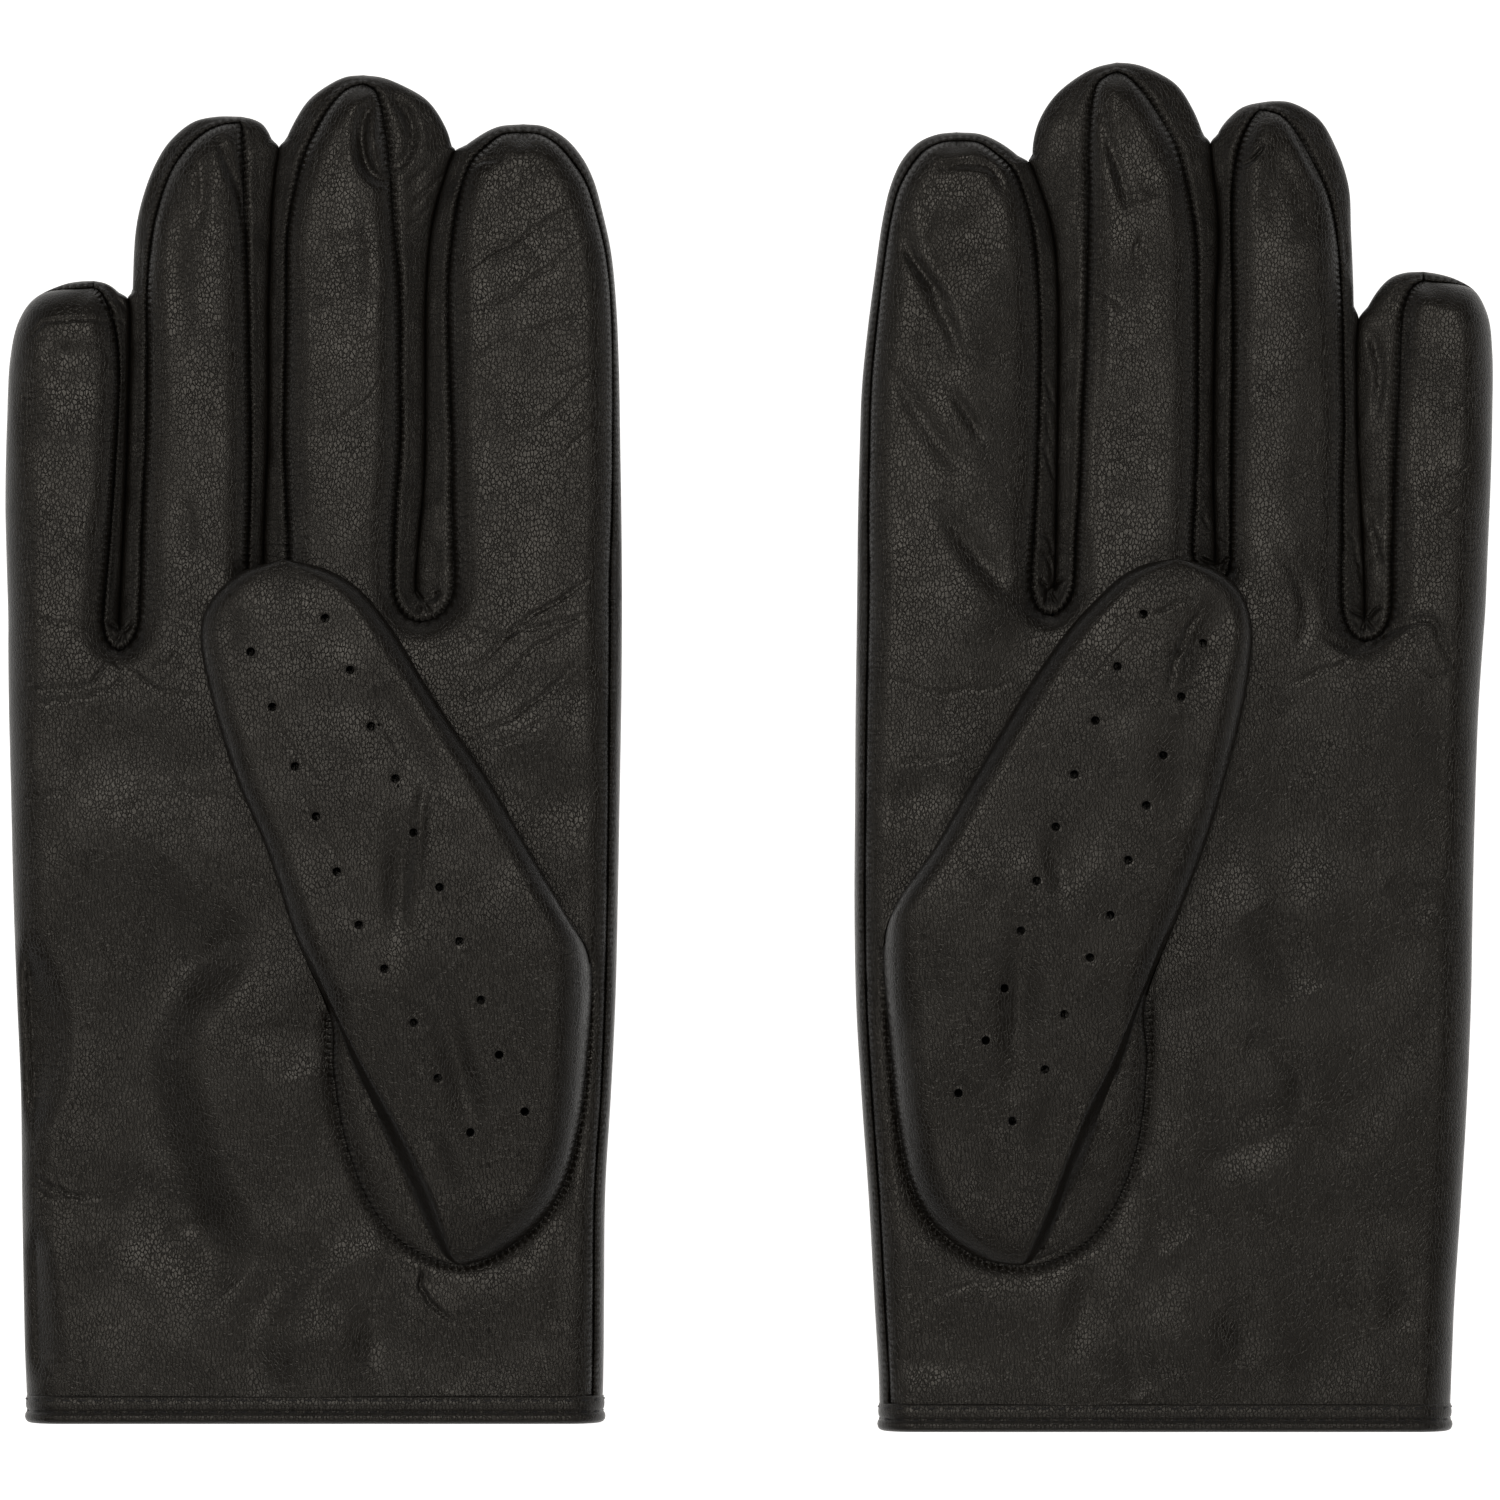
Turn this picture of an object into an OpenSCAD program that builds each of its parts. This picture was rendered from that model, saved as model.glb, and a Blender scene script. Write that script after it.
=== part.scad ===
// Pair of leather driving gloves lying palm up, fingers along +Y, thumbs folded over the palms.
// Each glove is drawn in its own frame (thumb side +X, cuff edge at y = 0) and then placed.
// The leather is drawn as flattened panels with the sewn-in side strips standing between them.

/* [Leather] */
// Thickness of the glove leather
leather_t = 0.8; // [0.6:0.1:1.0]
// Clear height inside the hand and fingers
hollow_h = 8.0; // [6:0.5:10]
// Clear height inside the thumb
thumb_hollow_h = 5.6; // [4.4:0.2:7]
// Gap left between two moving pieces
gap = 0.4; // [0.3:0.05:0.5]

/* [Cuff] */
// Depth of the binding along the cuff edge
binding_d = 4.6; // [3.6:0.2:6]
// Thickness of the binding outside the leather
binding_t = 0.7; // [0.5:0.1:0.9]
// Distance between two stitches of the cuff
stitch_pitch = 3.0; // [2:0.25:5]

/* [Back closure] */
// Half width of the oval opening in the back
vent_rx = 20; // [14:1:22]
// Half height of the oval opening in the back
vent_ry = 26; // [18:1:28]
// Width of the slit that runs from the oval to the cuff
slit_w = 3; // [2:0.5:4]
// Width of the wrist strap
strap_w = 14; // [11:1:16]
// Thickness of the wrist strap
strap_t = 0.9; // [0.7:0.1:1.1]
// Radius of the press stud's cap
cap_r = 6; // [5:0.5:7]

/* [Perforations] */
// Radius of a punched hole in the thumb
thumb_hole_r = 0.75; // [0.4:0.05:1.1]
// Radius of a punched hole in the finger backs
finger_hole_r = 0.75; // [0.4:0.05:1.1]
// Distance between two holes of a row on the fingers
hole_pitch = 9.5; // [8:0.5:14]

/* [Hidden] */
$fn = 48;

// Where each glove's own origin (middle of the cuff edge) lies
right_pos = [-75.5, -117.2, 0];
left_pos = [72.4, -118.6, 0];

// Levels, from the floor up: cap, strap, back leather, hollow, palm leather, thumb
z_strap = 0.8;
z_back = 2.6;
z_in0 = z_back + leather_t;
z_in1 = z_in0 + hollow_h;
z_palm = z_in1 + leather_t;
z_th0 = z_palm + gap;
z_th1 = z_th0 + leather_t;
z_th2 = z_th1 + thumb_hollow_h;
z_top = z_th2 + leather_t;

leather = [0.16, 0.145, 0.13];
leather_side = [0.12, 0.11, 0.10];
thread = [0.07, 0.07, 0.10];
metal = [0.20, 0.20, 0.21];

// Every edge is a list of stations [x, y of the back leather's edge, x, y of the front leather's seam].
// Finger sides run from the base crease to the fingertip.
r_little_out = [[-53,139.4,-51,139.4],[-53.3,150,-51.3,150],[-53.5,160,-51.4,160],[-53.2,174,-51,174],[-52.6,185,-50.4,184],[-51.2,191,-49,189.6],[-48.6,194.8,-46.8,193.2],[-43.6,197,-43,195.3],[-38.2,198.1,-38.2,196.7]];
r_little_in = [[-34.1,139.4,-36.4,139.4],[-33.6,148,-35.7,148],[-33.1,158,-34.9,158],[-32.6,170,-34.1,170],[-32.3,182,-33.6,181],[-32.2,188.5,-34,187.5],[-32.4,193.6,-35,192],[-34.5,196.5,-36.4,195.2],[-37.8,198.1,-37.8,196.7]];
r_ring_out = [[-32.8,151.4,-29.7,151.4],[-32.3,162,-29.3,162],[-31.9,174,-28.8,174],[-31.6,186,-28.7,186],[-31.4,197,-28.7,197],[-30.9,206.5,-27.8,206],[-29.8,212,-26.6,211.3],[-27.6,218,-24.6,216.8],[-24.9,222.3,-22,220.7],[-20.6,225.2,-18.4,223.5],[-12.8,226.8,-12.8,225.2]];
r_ring_in = [[-9,151.4,-11.3,151.4],[-8.7,160,-11,160],[-8.2,171,-10.9,171],[-8.1,183,-11.1,183],[-8.1,194,-11.3,194],[-7.8,204,-11.6,204],[-7.5,211,-11.9,210.6],[-7.1,217,-12.1,215.8],[-6.8,220.9,-12.2,219.8],[-8.8,224.8,-12.3,223.2],[-12.4,226.8,-12.4,225.2]];
r_middle_out = [[-8.4,152.4,-4.3,152.4],[-8.1,160,-4.6,160],[-7.6,171,-5,171],[-7.5,183,-4.8,183],[-7.5,195,-4.6,195],[-7.1,206,-4.4,206],[-6.6,214,-3.2,213.6],[-5.2,221.2,-1.4,220],[-3.6,225.1,0.4,223.8],[-0.9,229.3,2.6,227.6],[2.8,232.2,5.2,230.6],[8.3,233.6,8.3,232]];
r_middle_in = [[17.8,152.4,14,152.4],[18.6,160,14.4,160],[19,171,15.1,171],[19.1,183,15.1,183],[19.2,195,15,195],[19.9,206,14.2,206],[21.2,212,13.7,212],[22.8,217.6,13.3,217.6],[23.8,221.4,12.9,221.4],[22.6,225.2,12.4,224.6],[19.6,229.4,11.8,228],[14.6,232.1,10.9,230.6],[8.7,233.6,8.7,232]];
r_index_in = [[18.1,146.4,24.4,146.4],[18.6,154,24.2,154],[19.5,163,24.1,163],[19.7,172,24,172],[19.7,185,23.6,185],[19.9,197,23.4,197],[21.1,208,24.5,208],[22.9,215,26,215],[24.9,220,27.8,219],[27.6,222.4,30,221.2],[31.8,224.7,32.8,223.2],[36.2,225.2,36.2,223.6]];
r_index_out = [[53.5,146.4,51.4,146.4],[53.4,158,51.8,158],[53.2,170,51.9,170],[53,182,51.9,182],[52.5,194,51.6,194],[51.6,203,50.7,202.6],[50.2,209.6,49.2,209],[48.6,215.4,47.4,214.6],[46.6,219.4,45.2,218.2],[43.6,222.8,42.4,221.4],[40,224.8,39.4,223.2],[36.6,225.2,36.6,223.6]];

l_little_out = [[-55.4,142.4,-53.4,142.4],[-55.8,152,-53.8,152],[-56.3,164,-54.2,164],[-56.6,176,-54.5,176],[-56.6,187,-54.4,186.4],[-55.8,193.4,-53.7,192.4],[-53.6,197.6,-51.8,196],[-50,200,-49,198.2],[-44.8,201,-44.8,199.2]];
l_little_in = [[-34.8,142.4,-38.8,142.4],[-34.4,151,-39,151],[-33.9,161,-39.3,161],[-33.4,172,-39.7,172],[-33.3,182,-40.2,181.6],[-33.5,190,-40.5,189.2],[-35.6,196,-40.9,194.2],[-38.6,199.8,-42.2,197.6],[-44.4,201,-44.4,199.2]];
l_ring_out = [[-33.8,154.4,-30.4,154.4],[-33.2,164,-30.4,164],[-32.7,174,-30.7,174],[-32.6,186,-30.5,186],[-32.5,198,-30.2,198],[-32.1,208,-29.4,207.4],[-30.9,215.6,-27.6,214.6],[-28.4,222,-24.7,220.6],[-24.8,227.2,-21.9,225.4],[-21,229.4,-19.6,227.6],[-16.2,230.2,-16.2,228.6]];
l_ring_in = [[-8.8,154.4,-11.1,154.4],[-8.5,163,-11.2,163],[-8.5,172,-11.3,172],[-8.6,184,-11.5,184],[-8.9,196,-11.5,196],[-9.4,206,-11.3,206],[-9.1,213,-11.3,212.8],[-8.2,220,-11.8,219],[-9.2,225.4,-13,223.8],[-12.2,228.8,-14.4,226.8],[-15.8,230.2,-15.8,228.6]];
l_middle_out = [[-8.2,154.4,-4.5,154.4],[-7.9,163,-4.9,163],[-7.9,172,-5.2,172],[-8,184,-5.3,184],[-8.3,196,-5.3,196],[-8.8,206,-5.1,205.6],[-8.5,213,-4.2,212.4],[-7.6,220,-2.8,218.8],[-6.2,225.4,-1,224],[-4.4,229.6,1.2,227.8],[-1.6,233.6,3.6,231.4],[3.4,236.6,6.2,234.2],[8.4,237.2,8.4,235.4]];
l_middle_in = [[18.8,154.4,15.7,154.4],[18.7,163,15.1,163],[18.6,172,14.8,172],[18.4,184,14.2,184],[18.4,196,13.8,196],[18.8,204,13.7,204],[20.1,211,13.6,211],[22.3,217.6,13.6,217.4],[23.2,221.2,13.6,221],[22.2,226.8,13.4,226.2],[19.2,231.6,12.9,230.4],[14.8,235.2,12,233.4],[8.8,237.2,8.8,235.4]];
l_index_in = [[19.6,148.4,23.4,148.4],[19.4,158,22.9,158],[19.3,166,22.5,166],[19.2,175,22.2,175],[19.1,186,22,186],[19.2,197,22.2,197],[20,207,23.1,207],[21.8,214,24.5,213.4],[24.2,219.4,26.6,218.4],[27.6,222.6,29.2,221],[32,224.8,32.6,223.2],[36.2,225.2,36.2,223.6]];
l_index_out = [[53.6,148.4,51.6,148.4],[53.5,158,51.7,158],[53.2,170,51.5,170],[52.8,181,51.2,181],[51.8,191,50.3,191],[50.5,201,49.2,200.6],[49.2,210,47.9,209.4],[47.8,216,46.5,215],[45.8,220.4,44.4,219],[43,223.4,42,221.8],[39.8,224.8,39.2,223.2],[36.6,225.2,36.6,223.6]];

// Outer edges of the hand, from the cuff to the little finger and to the index finger
r_hand_out = [[-49.8,4.8,-47.8,4.8],[-50.3,22,-48.3,22],[-50.6,40,-48.6,40],[-50.8,57,-48.8,57],[-51.5,74,-49.5,74],[-52.1,91,-50.1,91],[-52.5,108,-50.5,108],[-52.9,125,-50.9,125],[-53,139,-51,139]];
r_hand_in = [[50.2,4.8,48.4,4.8],[50.4,22,48.6,22],[50.6,40,48.8,40],[51.6,57,49.9,57],[52.4,74,50.6,74],[52.8,91,51,91],[53.1,108,51.2,108],[53.4,125,51.3,125],[53.5,146,51.4,146]];
l_hand_out = [[-49.2,4.8,-47.2,4.8],[-50,22,-48,22],[-51.2,40,-49.2,40],[-52.2,57,-50.2,57],[-52.9,74,-50.9,74],[-53.2,91,-51.2,91],[-53.6,108,-51.6,108],[-54.2,125,-52.2,125],[-55.4,142,-53.4,142]];
l_hand_in = [[49.8,4.8,48,4.8],[50.6,22,48.8,22],[51.6,40,49.8,40],[52.8,57,51,57],[53.8,74,52,74],[54.1,91,52.3,91],[54,108,52.2,108],[53.9,125,52,125],[53.6,148,51.6,148]];

// The three forks between the fingers: [foot of the slit, seam loop on the palm], little side to index side
r_forks = [
  [[-34.1,139,-36.4,139],[-34.0,138.5,-36.2,137],[-33.9,138.2,-35.4,135],[-33.7,138,-33.7,133.9],[-33.4,138.2,-31.7,135],[-33.3,138.8,-30.4,137.6],[-33.2,143,-29.9,143],[-32.8,151,-29.7,151]],
  [[-9,151,-11.3,151],[-9.1,148,-11.3,147.6],[-8.9,146.9,-10.6,144.6],[-8.5,146.6,-8.3,143],[-8.1,146.9,-5.4,144.8],[-8.2,148,-4.4,148],[-8.4,152,-4.3,152]],
  [[17.8,152,14,152],[17.4,148,13.9,146.4],[17.3,145.6,14.3,142.4],[17.5,144.5,16,139.8],[17.7,144.2,19,138.8],[18,144.5,22.2,140.2],[18.1,145.3,24.1,143],[18.1,146,24.4,146]]
];
l_forks = [
  [[-34.8,142,-38.8,142],[-34.7,141.5,-38.2,139.8],[-34.6,141.2,-36.8,137.8],[-34.4,141,-34.4,136.9],[-34.1,141.2,-32.2,138],[-34,141.8,-30.7,141],[-34,147,-30.3,147],[-33.8,154,-30.4,154]],
  [[-8.8,154,-11.1,154],[-8.9,151.5,-11,151],[-8.8,150.8,-10.6,148.6],[-8.5,150.5,-8.9,147.4],[-8.2,150.8,-6,149],[-8.2,151.6,-4.6,151.4],[-8.2,154,-4.5,154]],
  [[18.8,154,15.7,154],[18.9,150,15.9,149],[19,147.4,16.4,145],[19.2,146.4,18,142.4],[19.4,146.2,20.1,141.4],[19.6,146.5,22.2,142.4],[19.6,147.2,23.3,145],[19.6,148,23.4,148]]
];

// Seam of the thumb in the palm, from the little-finger side round the base to the index side
r_oval = [[2.8,71],[3.5,61],[5.6,49],[9.7,38.4],[14.2,32.4],[19.6,28.9],[25.8,27.6],[32.6,29.8],[38.8,34.4],[43.2,40.8],[46.2,52],[47.4,62],[48,71],[48,80.4]];
l_oval = [[3.6,74.6],[3.4,64],[4.8,50.6],[8.6,39.8],[13.6,33],[19.6,29.6],[26,28.8],[33.4,30.2],[40,35.4],[44.2,42.6],[46.6,53],[47.8,65],[48.8,77],[49.2,85]];
// The thumb beyond its crease: [lower leather's edge, upper leather's edge], index side to little-finger side
r_thumb = [[47.6,81.4,45.6,80.9],[44,88.2,42.2,87.2],[37.4,99.4,35.8,98.6],[30.8,110.6,29.4,109.8],[24.2,121,22.9,120.2],[19,129,17.8,128.2],[13.2,138.8,12.2,137.4],[7.6,144.8,6.8,143],[1.4,148.4,1,146.4],[-5.4,149.8,-5.2,147.8],[-11.6,147.8,-10.8,145.9],[-16.4,143.9,-15,142.4],[-18.8,139,-17,138.2],[-19.1,133.4,-17.2,133.2],[-17,125.2,-15.1,124.8],[-12.8,111.6,-10.9,111],[-7.8,98.2,-5.9,97.6],[-2.2,83.6,-0.3,83],[2.6,72.5,4.6,72.6]];
l_thumb = [[48.6,85.4,46.6,84.9],[46.2,92.4,44.4,91.4],[40.4,101.2,38.8,100.2],[33,114,31.6,113],[25.4,126.8,24.1,125.8],[19.4,135.4,18.2,134.2],[13.6,142.6,12.5,141],[7.8,147.6,7,145.8],[2.6,150,2.2,148],[-3.6,150.2,-3.2,148.2],[-9.2,148,-8.4,146.2],[-13,144,-11.5,142.6],[-14.4,138.8,-12.6,138.2],[-14,131,-12.1,130.8],[-11.6,119.4,-9.7,118.9],[-7.4,104.6,-5.5,104],[-2.4,90.4,-0.6,89.7],[3.4,76.4,5.4,76.4]];
r_thumb_holes = [[-10.2,133.6],[-6.6,124],[-2.6,113.7],[0.9,105.2],[4.5,95.8],[8.3,86.5],[12.8,79],[2.4,139.3],[6.9,130.3],[10.6,120.8],[14.5,111.8],[17.8,102.4],[22.1,93.1],[25.6,83.9]];
r_base_holes = [[17.7,69.7],[22,60],[27.4,50.7],[29.4,73.6],[32.6,64],[36.8,54.3]];
l_thumb_holes = [[-5.7,136.4],[-2,127.2],[1.1,117],[4.2,108.5],[7.1,99.1],[10.2,89.5],[13.7,82.3],[4.5,141.5],[9.1,132.5],[12.8,123],[16.5,113.9],[19.6,104.8],[23,95.5],[25.7,86.9]];
l_base_holes = [[18.1,72.5],[21.5,63],[27,54],[28.4,77],[31.6,68],[36.2,58.9]];

// Back closure
vent_c = [2, 60];
slit_x = 7;
snap_p = [-1, 16.4];
strap_x = 22;

function rev(l) = [for (i = [len(l) - 1 : -1 : 0]) l[i]];
function foot(l) = [for (s = l) [s[0], s[1]]];
function seam(l) = [for (s = l) [s[2], s[3]]];
function unit2(v) = v / max(norm(v), 1e-6);
function right_of(v) = [v[1], -v[0]];
// Normal to the right of a polyline at point i, or the fixed end normals
function normals(p, n0, n1) = [for (i = [0 : len(p) - 1])
  i == 0 ? n0 : i == len(p) - 1 ? n1 :
  unit2(right_of(unit2(p[i] - p[i - 1]) + unit2(p[i + 1] - p[i])))];

// A leather strip standing between the back leather's edge (at z0) and the front seam (at z1).
// side is 1 where the hollow lies to the right of the direction of travel, and -1 where it lies to the left.
module strip(st, side, z0, z1, n0, n1, t = leather_t) {
  f = foot(st);
  s = seam(st);
  nf = [for (n = normals(f, n0 * side, n1 * side)) n * side];
  ns = [for (n = normals(s, n0 * side, n1 * side)) n * side];
  c = len(st);
  pts = [for (i = [0 : c - 1]) each [
    [f[i][0], f[i][1], z0],
    [f[i][0] + t * nf[i][0], f[i][1] + t * nf[i][1], z0],
    [s[i][0] + t * ns[i][0], s[i][1] + t * ns[i][1], z1],
    [s[i][0], s[i][1], z1]]];
  quads = concat(
    [[0, 3, 2, 1]],
    [for (i = [0 : c - 2]) each let (a = 4 * i, b = 4 * i + 4) [
      [a, a + 1, b + 1, b], [a + 3, b + 3, b + 2, a + 2], [a, b, b + 3, a + 3], [a + 1, a + 2, b + 2, b + 1]]],
    [[4 * c - 4, 4 * c - 3, 4 * c - 2, 4 * c - 1]]);
  tris = [for (q = quads) each [[q[0], q[1], q[2]], [q[0], q[2], q[3]]]];
  polyhedron(pts, side > 0 ? tris : [for (q = tris) [q[2], q[1], q[0]]]);
}

module plate(pts, z0, z1) { translate([0, 0, z0]) linear_extrude(z1 - z0) polygon(pts); }

// Outline of one finger from its two sides: the back leather's edge or the front leather's seam
function finger_back(out, inn) = concat(foot(out), rev(foot(inn)));
function finger_front(out, inn) = concat(seam(out), rev(seam(inn)));

// Two rows of punched holes along the back of a finger, from its base to near its tip
module finger_holes(out, inn, z0, z1) {
  a = (foot(out)[0] + foot(inn)[0]) / 2;
  b = (foot(out)[len(out) - 1] + foot(inn)[len(inn) - 1]) / 2;
  d = unit2(b - a);
  count = floor((norm(b - a) - 20) / hole_pitch);
  for (i = [0 : count - 1], s = [-1, 1])
    translate([each (a + d * (14 + i * hole_pitch + (s > 0 ? hole_pitch / 2 : 0)) + right_of(d) * s * 4), z0])
      cylinder(r = finger_hole_r, h = z1 - z0, $fn = 24);
}

// Glove modules. g holds one glove's edges.
right_g = [r_little_out, r_little_in, r_ring_out, r_ring_in, r_middle_out, r_middle_in, r_index_in, r_index_out, r_hand_out, r_hand_in, r_forks, r_oval, r_thumb, r_thumb_holes, r_base_holes];
left_g = [l_little_out, l_little_in, l_ring_out, l_ring_in, l_middle_out, l_middle_in, l_index_in, l_index_out, l_hand_out, l_hand_in, l_forks, l_oval, l_thumb, l_thumb_holes, l_base_holes];

module place(side) {
  if (side == "right") translate(right_pos) children();
  else translate(left_pos) mirror([1, 0, 0]) children();
}

// Leather of the palm with the short roots of the fingers, and the hole that the thumb is sewn into
module palm_panel(g) color(leather) difference() {
  plate(concat([[seam(g[8])[0][0], 1.3]], seam(g[8]), seam(g[10][0]), seam(g[10][1]), seam(g[10][2]), rev(seam(g[9])), [[seam(g[9])[0][0], 1.3]]), z_in1, z_palm);
  plate(g[11], z_in1 - 1, z_palm + 1);
}

// Leather of the back of the hand, with the oval opening, its slit and the hole for the press stud
module back_panel(g) color(leather) difference() {
  plate(concat([[foot(g[8])[0][0], 1.3]], foot(g[8]), foot(g[10][0]), foot(g[10][1]), foot(g[10][2]), rev(foot(g[9])), [[foot(g[9])[0][0], 1.3]]), z_back, z_in0);
  plate(vent_outline(0), z_back - 1, z_in0 + 1);
  translate([snap_p[0], snap_p[1], z_back - 1]) cylinder(r = 2, h = leather_t + 2, $fn = 32);
}

// Outline of the oval opening with its slit down to the cuff, grown by o
function vent_outline(o) = let (a0 = asin((slit_w / 2 + o) / (vent_rx + o)), dx = slit_x - vent_c[0])
  concat(
    [[slit_x - slit_w / 2 - o, -2], [slit_x - slit_w / 2 - o, vent_c[1] - (vent_ry + o) * sqrt(1 - pow((dx - slit_w / 2 - o) / (vent_rx + o), 2))]],
    [for (a = [-85 : -10 : -265]) let (p = [vent_c[0] + (vent_rx + o) * cos(a), vent_c[1] + (vent_ry + o) * sin(a)]) if (p[0] < slit_x - slit_w / 2 - o - 0.5 || p[1] > vent_c[1]) p],
    [for (a = [85 : -10 : -75]) let (p = [vent_c[0] + (vent_rx + o) * cos(a), vent_c[1] + (vent_ry + o) * sin(a)]) if (p[0] > slit_x + slit_w / 2 + o + 0.5 || p[1] > vent_c[1]) p],
    [[slit_x + slit_w / 2 + o, vent_c[1] - (vent_ry + o) * sqrt(1 - pow((dx + slit_w / 2 + o) / (vent_rx + o), 2))], [slit_x + slit_w / 2 + o, -2]]);

module outer_fold(g) color(leather) strip(g[8], 1, z_in0, z_in1, [1, 0], [1, 0]);
module side_seam_wall(g) color(leather_side) strip(g[9], -1, z_in0, z_in1, [-1, 0], [-1, 0]);

// Folded ends of the side strips, where two fingers fork
module crotch_gussets(g) color(leather_side)
  for (f = g[10]) strip(f, 1, z_in0, z_in1, [-1, 0], [1, 0]);

// Binding round the cuff edge: one channel on the palm, two on the back with the slit between them, and the two folded ends
module cuff_binding(g) color(leather) {
  x0 = foot(g[8])[0][0];
  x1 = foot(g[9])[0][0];
  binding_bar(x0, x1, z_in1, z_palm);
  binding_bar(x0, slit_x - slit_w / 2, z_back, z_in0);
  binding_bar(slit_x + slit_w / 2, x1, z_back, z_in0);
  for (x = [x0, x1 - 1]) translate([x, 0, z_in0 + binding_t + 0.05])
    cube([1, binding_d, hollow_h - 2 * binding_t - 0.1]);
}
module binding_bar(x0, x1, z0, z1) translate([x0, 0, 0]) rotate([90, 0, 90]) linear_extrude(x1 - x0)
  polygon([[0.5, z0 - binding_t], [binding_d, z0 - binding_t], [binding_d, z0 - 0.03], [1.2, z0 - 0.03], [1.2, z1 + 0.03],
    [binding_d, z1 + 0.03], [binding_d, z1 + binding_t], [0.5, z1 + binding_t], [0, z1 + binding_t / 2], [0, z0 - binding_t / 2]]);

// Flat binding sewn round the opening in the back
module vent_binding(g) color(leather_side) difference() {
  intersection() {
    plate(vent_outline(2), z_back - 0.6, z_back - 0.02);
    translate([-60, binding_d + 0.2, z_back - 1]) cube([120, 100, 2]);
  }
  plate(vent_outline(0), z_back - 1, z_back + 1);
}

// Domed base of the thumb, rising from its seam in the palm to the crease where the thumb folds
module thumb_base(g) color(leather) {
  o = g[11];
  n = len(o);
  a = o[0];
  b = o[n - 1];
  m = 6;
  lift = z_top - z_palm - leather_t;
  top = [for (i = [1 : n - 2]) let (r = o[i] + right_of(unit2(o[i + 1] - o[i - 1])) * 0.8, e = a + (b - a) * (0.06 + 0.88 * (i - 1) / (n - 3)), h = lift * pow(sin(180 * (0.14 + 0.72 * (i - 1) / (n - 3))), 0.55))
    [for (j = [0 : m]) let (v = j / m) [r[0] + (e[0] - r[0]) * v, r[1] + (e[1] - 0.1 - r[1]) * v, z_palm + leather_t + h * sin(90 * v)]]];
  difference() {
    sheet(top, leather_t - 0.04);
    for (p = g[14]) translate([p[0], p[1], z_palm]) cylinder(r = thumb_hole_r, h = z_top, $fn = 24);
  }
}

// A curved leather sheet of thickness t below a grid of points
module sheet(top, t) {
  r = len(top);
  c = len(top[0]);
  pts = concat([for (p = top) each p], [for (p = top) each [for (q = p) [q[0], q[1], q[2] - t]]]);
  k = r * c;
  faces = concat(
    [for (i = [0 : r - 2], j = [0 : c - 2]) each let (a = i * c + j, b = a + c) [[a, b, b + 1], [a, b + 1, a + 1]]],
    [for (i = [0 : r - 2], j = [0 : c - 2]) each let (a = i * c + j + k, b = a + c) [[b + 1, b, a], [a + 1, b + 1, a]]],
    [for (i = [0 : r - 2]) each let (a = i * c, b = a + c) [[b, a, a + k], [b, a + k, b + k]]],
    [for (i = [0 : r - 2]) each let (a = i * c + c - 1, b = a + c) [[a, b, b + k], [a, b + k, a + k]]],
    [for (j = [0 : c - 2]) each let (a = j, b = j + 1) [[a, b, b + k], [a, b + k, a + k]]],
    [for (j = [0 : c - 2]) each let (a = (r - 1) * c + j, b = a + 1) [[b, a, a + k], [b, a + k, b + k]]]);
  polyhedron(pts, [for (f = faces) [f[2], f[1], f[0]]]);
}

// Fixed end of the wrist strap, sewn to the back on the thumb side of the slit
module strap_anchor(g) color(leather) translate([strap_x + 0.3, snap_p[1] - strap_w / 2, z_strap]) cube([9, strap_w, z_back - z_strap - 0.03]);

// Press stud: its flange inside the glove and its pin through the back leather
module snap_stud(g) color(metal) translate([snap_p[0], snap_p[1], 0]) {
  translate([0, 0, z_back - 0.5]) cylinder(r = 1.8, h = leather_t + 0.6, $fn = 32);
  translate([0, 0, z_in0 + 0.05]) cylinder(r = 4, h = 0.6);
}

// Running stitches: two rows on the palm side and one on each half of the back
module cuff_thread(g) color(thread) {
  x0 = foot(g[8])[0][0] + 3;
  x1 = foot(g[9])[0][0] - 3;
  n = floor((x1 - x0) / stitch_pitch);
  for (i = [0 : n - 1], y = [1.9, 3.9]) translate([x0 + i * stitch_pitch + (y > 3 ? stitch_pitch / 2 : 0), y, z_palm + binding_t])
    cube([stitch_pitch * 0.6, 0.35, 0.25]);
  for (i = [0 : n - 1]) if (abs(x0 + (i + 0.3) * stitch_pitch - slit_x) > slit_w / 2 + stitch_pitch)
    translate([x0 + i * stitch_pitch, 3.2, z_back - binding_t - 0.2]) cube([stitch_pitch * 0.6, 0.35, 0.2]);
}

// Stitches round the thumb's seam in the palm
module thumb_thread(g) color(thread) {
  o = g[11];
  for (i = [1 : len(o) - 3]) let (a = o[i], b = o[i + 1], d = unit2(b - a), n = max(1, floor(norm(b - a) / stitch_pitch)))
    for (k = [0 : n - 1]) let (p = a + d * norm(b - a) * (k + 0.2) / n + right_of(d) * 1.6)
      translate([p[0], p[1], z_palm]) rotate([0, 0, atan2(d[1], d[0])]) cube([norm(b - a) / n * 0.6, 0.35, 0.3]);
}

module finger_front_panel(out, inn) color(leather) plate(finger_front(out, inn), z_in1, z_palm);
module finger_back_panel(out, inn) color(leather) difference() {
  plate(finger_back(out, inn), z_back, z_in0);
  finger_holes(out, inn, z_back - 1, z_in0 + 1);
}
module left_strip(st) color(leather_side) strip(st, 1, z_in0, z_in1, [1, 0], [0, -1]);
module right_strip(st) color(leather_side) strip(st, -1, z_in0, z_in1, [-1, 0], [0, -1]);

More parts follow.
